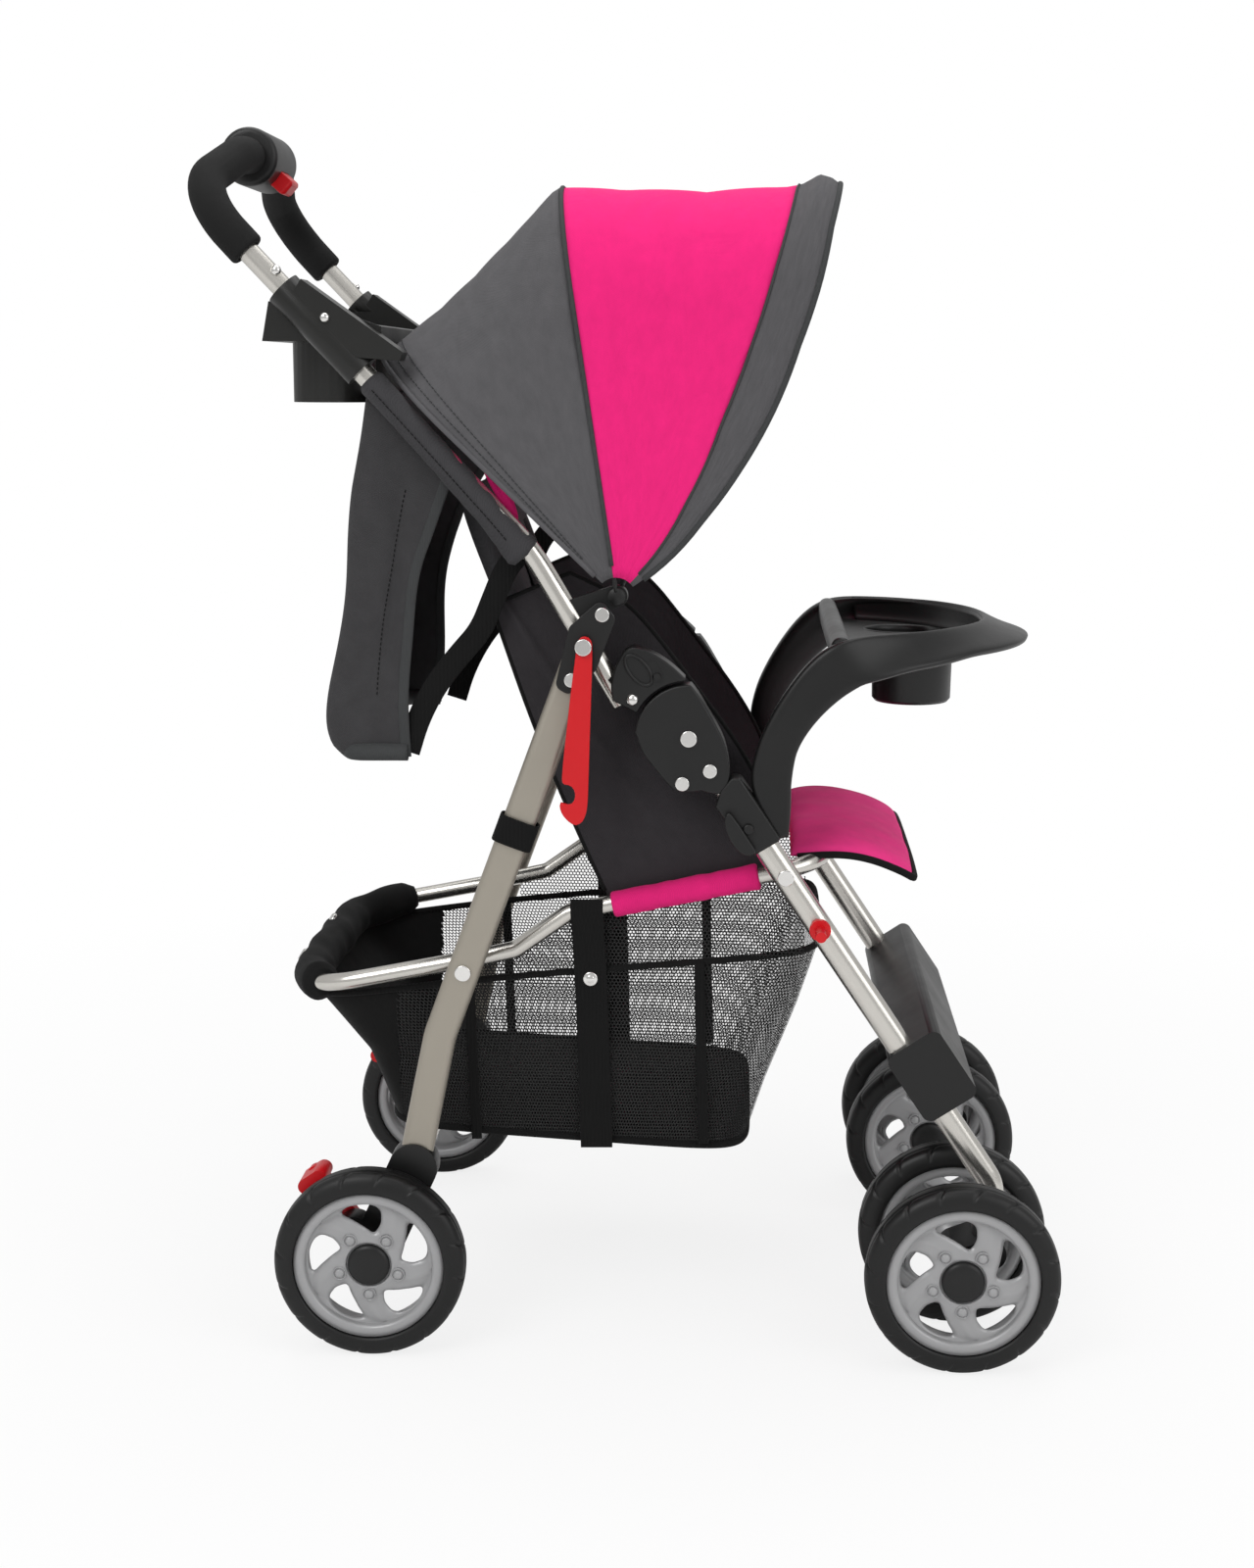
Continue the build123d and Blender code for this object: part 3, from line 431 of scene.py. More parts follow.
# netting: the net mask lets light through the holes
def nettingMaterial(name, colour, pitch=0.0034, hole=0.41):
    material, tree, shader, out = startMaterial(name)
    place = addNode(tree, "ShaderNodeTexCoord")
    net = addNode(tree, "ShaderNodeGroup", {"node_tree": netGroup}, Vector=place.outputs["UV"], Pitch=pitch,
                  Hole=hole)
    shader.inputs["Base Color"].default_value = (*colour, 1.0)
    shader.inputs["Roughness"].default_value = 0.8
    link(tree, net.outputs["Solid"], shader.inputs["Alpha"])
    return material


finishes = {
    "tube": hardMaterial("brightTube", (0.62, 0.60, 0.56), rough=0.24, metal=0.95, grain=1500, uneven=0.06,
                         bump=0.02),
    "leg": hardMaterial("satinLeg", (0.36, 0.33, 0.28), rough=0.42, metal=0.55, grain=1500, uneven=0.08,
                        bump=0.05),
    "steel": hardMaterial("zincSteel", (0.50, 0.50, 0.49), rough=0.30, metal=0.9, grain=700, uneven=0.20,
                          bump=0.05),
    "chrome": hardMaterial("brightRivet", (0.75, 0.74, 0.72), rough=0.16, metal=1.0, grain=700, uneven=0.10,
                           bump=0.02),
    "black": hardMaterial("blackPlastic", (0.009, 0.009, 0.009), rough=0.40, grain=1600, bump=0.12),
    "tray": hardMaterial("trayPlastic", (0.008, 0.008, 0.008), rough=0.36, grain=1300, bump=0.08),
    "cupTray": hardMaterial("cupTrayPlastic", (0.012, 0.012, 0.011), rough=0.36, grain=1300, bump=0.08),
    "rim": hardMaterial("greyRim", (0.36, 0.36, 0.365), rough=0.36, metal=0.25, grain=1400, uneven=0.12,
                        bump=0.05),
    "red": hardMaterial("redPlastic", (0.60, 0.006, 0.011), rough=0.35, grain=900, uneven=0.12, bump=0.05),
    "tyre": hardMaterial("tyreRubber", (0.006, 0.006, 0.006), rough=0.42, grain=1100, bump=0.12, uneven=0.3),
    "foam": hardMaterial("foamGrip", (0.008, 0.008, 0.008), rough=0.85, grain=2600, bump=0.6, depth=0.0004,
                         level=0.25),
}
cloths = {
    "pink": clothMaterial("pinkCloth", (0.82, 0.018, 0.195), uneven=0.22, crease=0.45),
    "grey": clothMaterial("greyCloth", (0.100, 0.098, 0.103), uneven=0.40, threads=1100.0, bump=0.4,
                          crease=0.35),
    "drape": clothMaterial("drapeCloth", (0.046, 0.045, 0.047), uneven=0.40, threads=1100.0, bump=0.4,
                           crease=0.35),
    "charcoal": clothMaterial("charcoalCloth", (0.034, 0.031, 0.034), uneven=0.35, threads=1100.0, bump=0.4,
                              crease=0.35),
    "black": clothMaterial("blackCloth", (0.008, 0.008, 0.008), uneven=0.3),
    "binding": clothMaterial("blackBinding", (0.008, 0.008, 0.008), threads=1500.0, onUv=False),
    "piping": clothMaterial("greyPiping", (0.050, 0.052, 0.053), threads=1500.0, onUv=False),
    "webbing": clothMaterial("blackWebbing", (0.007, 0.007, 0.007), threads=600.0, onUv=False, bump=0.5),
    "greyPad": clothMaterial("greyPadCloth", (0.048, 0.047, 0.050), threads=1100.0, onUv=False, bump=0.4),
    "pinkPad": clothMaterial("pinkPadCloth", (0.70, 0.016, 0.17), threads=1400.0, onUv=False, crease=0.4),
    # the calf flap's cloth is the pink pad cloth made brighter: painted light against the tray's and canopy's
    # shadow
    "flap": clothMaterial("flapPaintedLightCloth", (0.95, 0.050, 0.28), threads=1400.0, onUv=False, crease=0.4),
    "netting": nettingMaterial("blackNetting", (0.008, 0.008, 0.008), hole=0.40),
}
print("materials made")


# one material on a new piece, and the body it rides on where given
def dress(obj, material, body=None):
    obj.data.materials.clear()
    obj.data.materials.append(material)
    if body:
        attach(obj, body)
    return obj


# one material on the CAD nodes that stay
def paintNodes(material, *names):
    for name in names:
        obj = nodes[name]
        obj.data.materials.clear()
        obj.data.materials.append(material)
        obj.data.polygons.foreach_set("material_index", np.zeros(len(obj.data.polygons), np.int32))


# moulded edges: flat faces are joined, then edges sharper than the limit get a small round
def soften(width, *names):
    for name in names:
        merge = nodes[name].modifiers.new("merge", "WELD")
        merge.merge_threshold = 1e-5
        flat = nodes[name].modifiers.new("flat", "DECIMATE")
        flat.decimate_type = "DISSOLVE"
        flat.angle_limit = math.radians(1.5)
        addBevel(nodes[name], width, 35)


paintNodes(finishes["tube"], "handle_tube", "front_legs", "rear_cross_tube", "basket_loop", "seat_rail")
paintNodes(finishes["leg"], "rear_legs")
paintNodes(finishes["steel"], "rear_axles", "front_axle_left", "front_axle_right")
paintNodes(finishes["chrome"], "rear_rivets", "front_rivets")
paintNodes(finishes["black"], "axle_housings", "trigger_housing", "canopy_brackets", "tray_clips",
           "caster_sockets", "footrest", "caster_fork_left", "caster_fork_right", "lock_slider_left",
           "lock_slider_right", "hinge_plates")
paintNodes(finishes["cupTray"], "parent_tray")
paintNodes(finishes["red"], "fold_trigger", "fold_pin", "brake_pedal_left", "brake_pedal_right")
paintNodes(finishes["foam"], "foam_grips")
soften(1.6, "trigger_housing", "canopy_brackets", "tray_clips", "axle_housings", "caster_sockets", "footrest",
       "caster_fork_left", "caster_fork_right", "parent_tray")
soften(0.9, "hinge_plates", "fold_trigger", "brake_pedal_left", "brake_pedal_right", "rear_rivets",
       "front_rivets")
soften(4.0, "foam_grips")
print("frame pieces painted")


# tyres: a round-shouldered section turned about the axle, with hooked grooves pressed into both shoulders
tyreLook = {"radius": 82.5, "seat": 65.2, "width": 32.0, "grooves": 16, "depth": 2.2, "around": 600,
            "section": 33}


def tyreSurface(x, y):
    look = tyreLook
    turn = fullTurn(look["around"])[:, None]
    step = np.linspace(-1, 1, look["section"])[None, :]
    across = look["width"] / 2 * np.sign(step) * (1 - (1 - np.abs(step)) ** 1.7)
    crown = np.clip(np.abs(step), 0, 1) ** 3.2
    radius = look["radius"] - (look["radius"] - look["seat"]) * crown
    hook = turn + 0.16 * np.clip(np.abs(step) - 0.25, 0, 1) ** 0.6 * np.sign(step)
    away = np.abs(np.mod(hook * look["grooves"] / (2 * np.pi), 1.0) - 0.5) * 2 * np.pi / look["grooves"]
    shoulder = np.clip((np.abs(step) - 0.2) / 0.08, 0, 1) * np.clip((0.86 - np.abs(step)) / 0.1, 0, 1)
    radius = radius - look["depth"] * shoulder * np.exp(-(away / 0.019) ** 2)
    radius = radius - 0.8 * np.exp(-((np.abs(step) - 0.2) / 0.035) ** 2)
    turn = turn + 0 * step
    z = look["radius"] + radius * np.sin(turn)
    points = np.stack([x + radius * np.cos(turn), y + across + 0 * turn, z], -1)
    inside = points[:, [0, -1]] * 1.0
    inside[:, :, 0] = x + (look["seat"] - 0.1) * np.cos(turn[:, :2])
    inside[:, :, 1] = y + np.array([-1, 1]) * look["width"] * 0.4
    inside[:, :, 2] = look["radius"] + (look["seat"] - 0.1) * np.sin(turn[:, :2])
    return np.concatenate([points, inside[:, 1:], inside[:, :1]], axis=1)


# rims: a barrel with rolled lips and a dished face of five sectors, each ringed out from a rounded window
rimLook = {
    "barrel": [(65.1, -11.5), (64.2, -13.2), (58.0, -13.6), (55.6, -12.8), (54.6, -10.5), (54.4, -4.0),
               (54.4, 6.0), (55.2, 11.0), (57.5, 12.8), (64.2, 12.6), (65.1, 11.0)],
    "hub": [(0.0, -8.6), (19.0, -8.6), (20.0, -5.0), (17.5, -4.0), (17.0, 0.0)],
    "cap": [(0.0, -14.2), (9.0, -14.0), (14.5, -13.4), (17.2, -12.2), (18.2, -10.4), (18.4, -8.0),
            (0.0, -8.0)],
    "stud": [(0.0, -12.6), (3.0, -12.5), (3.9, -11.6), (4.0, -10.4), (4.9, -10.2), (5.2, -11.4),
             (5.8, -11.4), (6.2, -9.0), (0.0, -9.0)],
    "studRing": 26.5, "inner": 20.0, "outer": 55.4, "window": (40.6, 12.2), "halfAngle": 36.0, "swirl": 14.0,
    "wall": 5.0,
}
windowRings = [0.0, 0.05, 0.14, 0.3, 0.55, 0.8, 1.0]


def rimFace(name, x, y, outward):
    look = rimLook
    turn = fullTurn(80)
    c, s = np.cos(turn), np.sin(turn)
    middle = (look["inner"] + look["outer"]) / 2
    reach = (look["outer"] - look["inner"]) / 2
    square = np.maximum(np.abs(c), np.abs(s))
    edgeR, edgeA = middle + reach * c / square, look["halfAngle"] * s / square
    holeR = look["window"][0] + look["window"][1] * squared(c, 0.8)
    holeA = (17.5 + 9.0 * c) * squared(s, 0.8)
    pieces = []
    for sector in range(5):
        rows = []
        for share in windowRings:
            r = holeR * (1 - share) + edgeR * share
            a = holeA * (1 - share) + edgeA * share
            a = np.radians(a + 90 + 72 * sector + look["swirl"] * (r - middle) / reach)
            roll = 2.8 * np.clip(1 - share / 0.3, 0, 1) ** 2
            bowl = 3.2 * np.clip((r - look["inner"]) / (2 * reach), 0, 1) ** 1.6
            dish = -9.0 + bowl + roll - 1.4 * share ** 2
            z = tyreLook["radius"] + r * np.sin(a)
            rows.append(np.stack([x + r * np.cos(a), y + outward * -dish, z], -1))
        pieces.append(gridMesh(name, np.array(rows), wrapV=True))
    return addWall(outwardFaces(joinPieces(name, pieces), (0, outward, 0)), look["wall"])


# one wheel: tyre, dished face, barrel with hub, cap and five studs, all about its own axle
def makeWheel(label, x, y, outward, hubReach):
    look = rimLook
    body = f"wheel_{label}"
    centre = (x, y, tyreLook["radius"])
    axis = (0, -outward, 0)
    tyre = outwardFaces(gridMesh(f"tyreTread_{label}", tyreSurface(x, y), wrapU=True, wrapV=True))
    dress(tyre, finishes["tyre"], body)
    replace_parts(tyre, f"tyre_{label}")
    face = rimFace(f"rimFace_{label}", x, y, outward)
    dress(face, finishes["rim"], body)
    barrel = turned(f"rimBarrel_{label}", look["barrel"], centre, axis, 96, closed=True)
    hub = turned("hub", look["hub"] + [(17.0, hubReach), (0.0, hubReach)], centre, axis, 48)
    rim = joinPieces(f"rimBarrel_{label}", [barrel, hub])
    dress(rim, finishes["rim"], body)
    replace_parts(rim, f"rim_{label}")
    cap = turned(f"hubCap_{label}", look["cap"], centre, axis, 48)
    dress(cap, finishes["black"], body)
    studs = []
    for k in range(5):
        a = math.radians(126 + 72 * k)
        place = (x + look["studRing"] * math.cos(a), y, tyreLook["radius"] + look["studRing"] * math.sin(a))
        studs.append(turned("stud", look["stud"], place, axis, 16))
    dress(joinPieces(f"rimStuds_{label}", studs), finishes["rim"], body)


# axle x, distance from the middle plane and hub end; front twins stand a step to each side of their caster
wheelPlace = {"rear": (-219.0, 219.5, 17.0), "front": (286.0, 174.0, 25.5), "twinStep": 52.0}
for side, sign in bothSides:
    x, y, hubReach = wheelPlace["rear"]
    makeWheel(f"rear_{side}", x, sign * y, sign, hubReach)
    x, y, hubReach = wheelPlace["front"]
    for where, way in (("outer", sign), ("inner", -sign)):
        makeWheel(f"front_{side}_{where}", x, sign * y + way * wheelPlace["twinStep"], way, hubReach)
print("wheels made")


# canopy: U-shaped cloth between bow planes through the canopy pivots, drawn by angle and reach from them
canopyLook = {"pivot": (-10.5, 652.0), "half": 186.5, "shoulder": 92.0, "start": 16.0, "across": 97,
              "crown": 0.6, "edgeReach": 380.0, "fullness": 1.25}
hoodTop = {"angle": [57.5, 61.0, 63.0, 64.6, 66.2, 68.0, 78.4, 89.9, 99.4, 103.8, 108.3, 115.6, 123.3, 130.6,
                     136.2],
           "reach": [374.0, 380.0, 382.0, 380.0, 366.0, 359.0, 337.5, 331.5, 337.0, 320.0, 306.0, 290.0,
                     281.0, 280.0, 281.0]}
rimEdge = {"reach": [0.0, 50.0, 94.0, 142.0, 195.0, 250.0, 298.0, 342.0, 390.0],
           "angle": [30.0, 36.0, 42.0, 46.0, 50.0, 54.3, 57.2, 60.0, 62.2]}
seamEdge = {"reach": [0.0, 43.0, 97.0, 165.0, 231.0, 295.0, 360.0],
            "angle": [44.0, 47.0, 53.6, 58.9, 61.9, 64.3, 66.4]}


# an edge that keeps one angle at every reach
def steadyEdge(angle):
    return {"reach": [0.0], "angle": [angle]}


# angle of an edge at a reach, from its points
def edgeAngle(edge, reach):
    return np.interp(reach, edge["reach"], edge["angle"])


# arch in a bow plane: up one side, round the shoulder, across and down, as y and reach by share of its length
def archPoints(top, share):
    look = canopyLook
    half = look["half"]
    corner = np.minimum(look["shoulder"], top - look["start"])
    straight = top - look["start"] - corner
    quarter = corner * np.pi / 2
    flat = half - corner
    along = (straight + quarter + flat) * (1 - np.abs(2 * share - 1))
    sideRun = np.clip(along, 0, straight)
    bendRun = np.clip(along - straight, 0, quarter) / corner
    topRun = np.clip(along - straight - quarter, 0, None)
    across = half - corner * (1 - np.cos(bendRun)) - topRun
    reach = look["start"] + sideRun + corner * np.sin(bendRun)
    reach = reach + look["crown"] * (1 - (across / half) ** 2)
    return np.sign(share - 0.5) * across, reach


# cloth strip from one edge to another, sunk a little between the bows and rippled down its sides
def hoodSurface(first, last, steps, sag):
    pivot = canopyLook["pivot"]
    share = np.linspace(0, 1, canopyLook["across"])[None, :]
    part = np.linspace(0, 1, steps)[:, None]
    far = canopyLook["edgeReach"]
    middle = edgeAngle(first, far) * (1 - part) + edgeAngle(last, far) * part
    top = np.interp(middle, hoodTop["angle"], hoodTop["reach"])
    y, reach = archPoints(top, share)
    angle = np.radians(edgeAngle(first, reach) * (1 - part) + edgeAngle(last, reach) * part)
    y = y * (1 - sag * 0.012 * np.sin(np.pi * part) * np.sin(np.pi * np.clip(reach / 330, 0, 1)))
    reach = reach - sag * 2.0 * np.sin(np.pi * part) * np.exp(-((share - 0.5) / 0.28) ** 2)
    fold = ripple(reach, 60 * part + 0 * share, 120.0, 1.0) * np.clip(reach / 120, 0, 1)
    y = y + np.sign(y) * 0.9 * fold * sag
    x = pivot[0] + reach * np.cos(angle)
    z = pivot[1] + reach * np.sin(angle)
    points = np.stack([x, y + 0 * x, z], -1)
    uv = np.stack(np.broadcast_arrays(lengthsAlong(points[steps // 2])[None, :], part * 210.0), -1)
    return points, uv


# direction across a bow in its middle plane
def acrossBow(angle):
    return (-math.sin(math.radians(angle)), 0.0, math.cos(math.radians(angle)))


# two rows of stitches along the rear hem, left open at the middle
def hoodStitches(points):
    middle = len(points[0]) // 2
    rows = []
    for row in (2, 4):
        for half in (points[row][3:middle - 8], points[row][middle + 8:-3]):
            lift = np.array([0, np.sign(half[0, 1]) * 0.7, 0.2])
            rows.append(stitchRow(f"hoodStitch_{row}_{half[0, 1] > 0}", half, lift))
    return rows


# blend lists the bodies at the two edges and the angles at which each takes over; a panel with one is baked
# in place
hoodPanels = {
    "canopyRear": {"edges": (steadyEdge(136.2), steadyEdge(99.0)), "steps": 35, "sag": 0.8, "wall": 1.6,
                   "cloth": "grey", "slot": "grey_fabric", "node": "canopy_rear_panel",
                   "blend": ("handle_frame", "canopy_back", 135.7, 99.6)},
    "canopyMiddle": {"edges": (steadyEdge(98.6), seamEdge), "steps": 25, "sag": 0.8, "wall": 1.6,
                     "cloth": "pink", "slot": "pink_fabric", "node": "canopy_mid_panel",
                     "blend": ("canopy_back", "canopy_front", 99.2, 66.2)},
    "canopyRim": {"edges": (seamEdge, rimEdge), "steps": 13, "sag": 0.0, "wall": 4.0,
                  "cloth": "grey", "slot": "grey_fabric", "node": "canopy_rim", "blend": None},
}
# cords along an edge of a panel: row of the panel, radius, points round it, angle of its bow, cloth and body
hoodCords = {
    "canopyRear": [("hoodHem", 0, 2.2, 10, 136.2, "grey", "handle_frame")],
    "canopyMiddle": [("canopyPiping_middle", 0, 1.9, 12, 98.6, "piping", "canopy_back")],
    "canopyRim": [("canopyPiping_back", 0, 1.2, 12, 58.0, "piping", "canopy_front"),
                  ("canopyPiping_front", -1, 2.4, 12, 58.0, "piping", "canopy_front")],
}


# one panel with its cords and stitches; a panel without a blend rides on the front bow
def makeHoodPanel(label, look):
    points, uv = hoodSurface(*look["edges"], look["steps"], look["sag"])
    panel = outwardFaces(gridMesh(label, points, uv=uv), (0.0, 0.0, 1.0))
    dress(addWall(panel, look["wall"]), cloths[look["cloth"]])
    trims = []
    if label == "canopyRear":
        trims = [dress(row, cloths["piping"]) for row in hoodStitches(points)]
    if look["blend"]:
        for piece in [panel] + trims:
            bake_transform(piece)
    else:
        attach(panel, "canopy_front")
    for name, row, radius, count, angle, cloth, body in hoodCords[label]:
        cord = carry(name, points[row][1:-1], circleSection(radius, count), acrossBow(angle))
        trims.append(dress(cord, cloths[cloth], body))
    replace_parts(panel, look["node"])


for label, look in hoodPanels.items():
    makeHoodPanel(label, look)


# bows: round wire from an eye on each canopy pivot, up under the cloth and across
bowLook = {"wire": 2.0, "eye": [(0, 1.5), (6.6, 1.5), (7.5, 0.6), (7.5, -0.6), (6.6, -1.5), (0, -1.5)],
           "canopy_rear_bow": {"angle": 98.8, "eyeY": 182.9, "below": 4.4, "body": "canopy_back"},
           "canopy_front_bow": {"angle": 66.0, "eyeY": 165.1, "below": 6.0, "body": "canopy_front"}}


def makeBow(cadNode):
    look = bowLook[cadNode]
    eyeY = look["eyeY"]
    tilt = math.radians(look["angle"])
    top = np.interp(look["angle"], hoodTop["angle"], hoodTop["reach"]) - look["below"]
    y, reach = archPoints(np.array([[top]]), np.linspace(0.14, 0.86, 120)[None, :])
    y, reach = y[0] * (1 - look["below"] / canopyLook["half"]), reach[0]
    y = np.concatenate([[-eyeY, -eyeY], y, [eyeY, eyeY]])
    reach = np.concatenate([[4.0, 18.0], reach, [18.0, 4.0]])
    x, z = canopyLook["pivot"]
    path = smoothPath(np.stack([x + reach * math.cos(tilt), y, z + reach * math.sin(tilt)], -1), 200, 2)
    pieces = [carry(cadNode, path, circleSection(bowLook["wire"], 12), side=acrossBow(look["angle"]))]
    for sign in (-1, 1):
        pieces.append(turned("bowEye", bowLook["eye"], (x, sign * eyeY, z), (0, 1, 0), 32))
    wire = joinPieces("bowWire_" + cadNode, pieces)
    dress(wire, finishes["black"], look["body"])
    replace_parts(wire, cadNode)


makeBow("canopy_rear_bow")
makeBow("canopy_front_bow")
print("canopy made")


# rear drape: side cloth, rounded corner, back cloth, corner, side cloth, hung from the tubes
drapeLook = {"half": 161.0, "corner": 18.0, "side": 58.0, "wall": 1.6, "flat": (0.52, 0.36),
             "roll": 7.5, "hemSize": (9.0, 3.2),
             "rear": [(-221, 815), (-231, 753), (-239, 688), (-250, 614), (-259, 548), (-256, 522),
                      (-246, 512)],
             "hem": [(-148, 762), (-158, 735), (-170, 700), (-180, 675), (-188, 638), (-191, 583),
                     (-192, 512)]}


# rows run round the back between the hem line and the rear line; ripples and one crease grow downwards
def drapeSurface():
    look = drapeLook
    rearLine = smoothPath(look["rear"], 61)
    hemLine = smoothPath(look["hem"], 61)
    span = np.linspace(0, 1, 129)
    sideRun, bend, back = look["side"], look["corner"] * np.pi / 2, 2 * (look["half"] - look["corner"])
    total = 2 * sideRun + 2 * bend + back
    run = span * total
    inward = np.minimum(run, total - run)
    side = np.where(span < 0.5, -1, 1)
    lead = np.clip(inward / sideRun, 0, 1)
    turn = np.clip((inward - sideRun) / look["corner"], 0, np.pi / 2)
    flatRun = np.clip(inward - sideRun - bend, 0, None)
    y = side * (look["half"] - look["corner"] * (1 - np.cos(turn)) - flatRun)
    backShare = 0.74 * lead + 0.26 * np.sin(turn)
    x = hemLine[:, :1] * (1 - backShare) + rearLine[:, :1] * backShare
    z = hemLine[:, 1:] * (1 - backShare) + rearLine[:, 1:] * backShare
    hang = np.linspace(0, 1, 61)[:, None]
    loose = np.clip(hang * 4, 0, 1)
    x = x - 16.0 * np.clip(y / look["half"], 0, 1) ** 3 * (1 - backShare) * loose
    hollow = 7.0 * np.sin(np.pi * hang) * np.exp(-(y / 110) ** 2)
    x = x + (3.0 * ripple(run[None, :], 260 * hang, 130.0, 0.4) + hollow) * loose
    slant = np.exp(-((run[None, :] - 34 + 26 * hang) / 9.0) ** 2)
    crease = 4.5 * slant * np.sin(np.pi * np.clip(hang * 1.3, 0, 1))
    y = y[None, :] + (1.8 * ripple(260 * hang, run[None, :], 90.0, 2.0) + crease * -side) * loose
    points = np.stack([x, y, z], -1)
    uv = np.stack(np.broadcast_arrays(run[None, :], 290 * hang), -1)
    return points, uv


# a cloth piece gets a mesh of its own
def squashed(obj):
    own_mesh(obj)
    return obj


points, uv = drapeSurface()
drape = gridMesh("rearDrape", points, uv=uv)
addWall(drape, drapeLook["wall"], 0.0)
dress(drape, cloths["drape"], "handle_frame")
drapeTrim = []
for label, column, stitched, sign in (("right", 0, 8, -1), ("left", -1, -9, 1)):
    hem = carry(f"drapeHem_{label}", points[2:, column], strapSection(*drapeLook["hemSize"]), side=(1, 0, 0))
    dress(hem, cloths["piping"], "handle_frame")
    stitch = stitchRow(f"drapeStitch_{label}", points[10:50, stitched], np.array([0, sign * 1.4, 0]))
    dress(stitch, cloths["binding"], "handle_frame")
    drapeTrim += [hem, stitch]
rollLine = points[-1] + np.array([6.0, 0, 4.0])
roll = carry("drapeRoll", rollLine[2:-2], circleSection(drapeLook["roll"], 16), side=(0, 0, 1))
drapeTrim.append(dress(roll, cloths["piping"], "handle_frame"))
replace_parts(drape, "rear_drape")
for piece in [drape] + drapeTrim:
    squashed(piece)
print("drape made")


# cloth sleeves round the handle tube, wider and flattened at the lower end, with the pink lining behind
sleeveLook = {"y": 174.0, "path": [(-214, 827), (-190, 801), (-150, 757), (-110, 713), (-86, 684)],
              "share": [0, 0.02, 0.3, 0.6, 0.8, 0.92, 0.98, 1.0],
              "radius": [9.4, 11.6, 11.2, 12.0, 12.6, 14.5, 15.5, 12.0],
              "lining": [(-129, 768), (-111, 749), (-99, 736), (-91, 710), (-101, 716), (-115, 738)],
              "liningY": 165.0, "liningWall": 1.2}


def makeTubeSleeve(side, sign):
    look = sleeveLook
    path = smoothPath([(x, sign * look["y"], z) for x, z in look["path"]], 90)
    share = np.linspace(0, 1, len(path))
    radius = np.interp(share, look["share"], look["radius"])
    turn = fullTurn(28)
    wide = np.cos(turn) * (radius * (1 - 0.22 * share ** 4))[:, None]
    section = np.stack([wide, np.sin(turn) * radius[:, None]], -1)
    gather = 1 + 0.035 * ripple(200 * share[:, None], 30 * np.cos(turn)[None, :], 26.0, 0.6)
    sleeve = carry(f"tubeSleeve_{side}", path, section * gather[..., None])
    dress(sleeve, cloths["greyPad"], "handle_frame")
    seamLine = path[4:-8] + np.array([0, sign * 11.6, 0]) + np.array([-2.0, 0, -2.0])
    stitch = stitchRow(f"sleeveStitch_{side}", seamLine, np.array([0, sign * 0.8, 0]))
    dress(stitch, cloths["binding"], "handle_frame")
    outline = smoothLoop([(x, sign * look["liningY"], z) for x, z in look["lining"]], 48)
    centre = outline.mean(axis=0)
    rings = np.array([outline, 0.5 * outline + 0.5 * centre, 0.02 * outline + 0.98 * centre])
    lining = addWall(gridMesh(f"sleeveLining_{side}", rings, wrapV=True), look["liningWall"], 0.0)
    dress(lining, cloths["pinkPad"], "handle_frame")


for side, sign in bothSides:
    makeTubeSleeve(side, sign)
print("sleeves made")


# stuffed panel: a crowned slab in its own plane, edges pulled in, with sewn channels across
def makePillow(name, origin, alongDir, faceDir, length, half, thick, channels=0, pull=0.03):
    a = np.linspace(-1, 1, 57)[:, None]
    b = np.linspace(-1, 1, 49)[None, :]
    crown = ((1 - np.abs(a) ** 6) * (1 - np.abs(b) ** 6)) ** 0.42
    if channels:
        crown = crown * (1 - 0.30 * np.exp(-(np.sin((b + 1) * np.pi * channels / 2) / 0.16) ** 2))
    width = half * a * (1 - pull * (1 - b ** 2))
    reach = length / 2 * (b + 1) + 0 * a - length * pull * 0.5 * b * (1 - a ** 2)
    flat = origin + reach[..., None] * alongDir
    pieces = []
    for sign in (1, -1):
        depth = thick / 2 * (1 + sign * crown)
        points = flat + depth[..., None] * faceDir + width[..., None] * np.array([0, 1.0, 0])
        pieces.append(gridMesh(name, points, flip=sign < 0))
    return outwardFaces(joinPieces(name, pieces))


# inflates a stuffed piece a little with cloth pressure, capped so it keeps its room
def puff(obj, cap, pressure=4.0, voxel=5.0):
    bpy.context.view_layer.objects.active = obj
    rest = obj.modifiers.new("remesh", "REMESH")
    rest.mode = "VOXEL"
    rest.voxel_size = voxel * 0.001
    rest.use_smooth_shade = True
    bpy.ops.object.modifier_apply(modifier="remesh")
    before = np.empty(len(obj.data.vertices) * 3)
    obj.data.vertices.foreach_get("co", before)
    cloth = obj.modifiers.new("air", "CLOTH")
    cloth.settings.use_pressure = True
    cloth.settings.uniform_pressure_force = pressure
    cloth.settings.effector_weights.gravity = 0.0
    cloth.point_cache.frame_end = 20
    for step in range(1, 21):
        scene.frame_set(step)
    shaped = obj.evaluated_get(bpy.context.evaluated_depsgraph_get()).to_mesh()
    after = np.empty(len(shaped.vertices) * 3)
    shaped.vertices.foreach_get("co", after)
    obj.modifiers.remove(cloth)
    scene.frame_set(1)
    move = (after - before).reshape(-1, 3)
    size = np.linalg.norm(move, axis=1, keepdims=True)
    move = move * np.minimum(1, cap * 0.001 / np.maximum(size, 1e-9))
    obj.data.vertices.foreach_set("co", (before.reshape(-1, 3) + move).ravel())
    obj.data.polygons.foreach_set("use_smooth", np.ones(len(obj.data.polygons), bool))
    obj.data.update()
    return addSmooth(obj)


# the seat lies along its rails and the back leans on its hinge; x and z in the middle plane
cushionLook = {"rail": ((-33.0, 381.0), (132.5, 416.5)), "hinge": (-22.0, 428.4), "backTilt": 111.0,
               "seatFrom": (-16.0, 394.0), "seatSize": (152.0, 140.0, 21.0), "seatSwell": 4.0,
               "backSize": (354.0, 130.0, 22.0), "backSwell": 5.0, "backInset": (9.0, 12.0)}


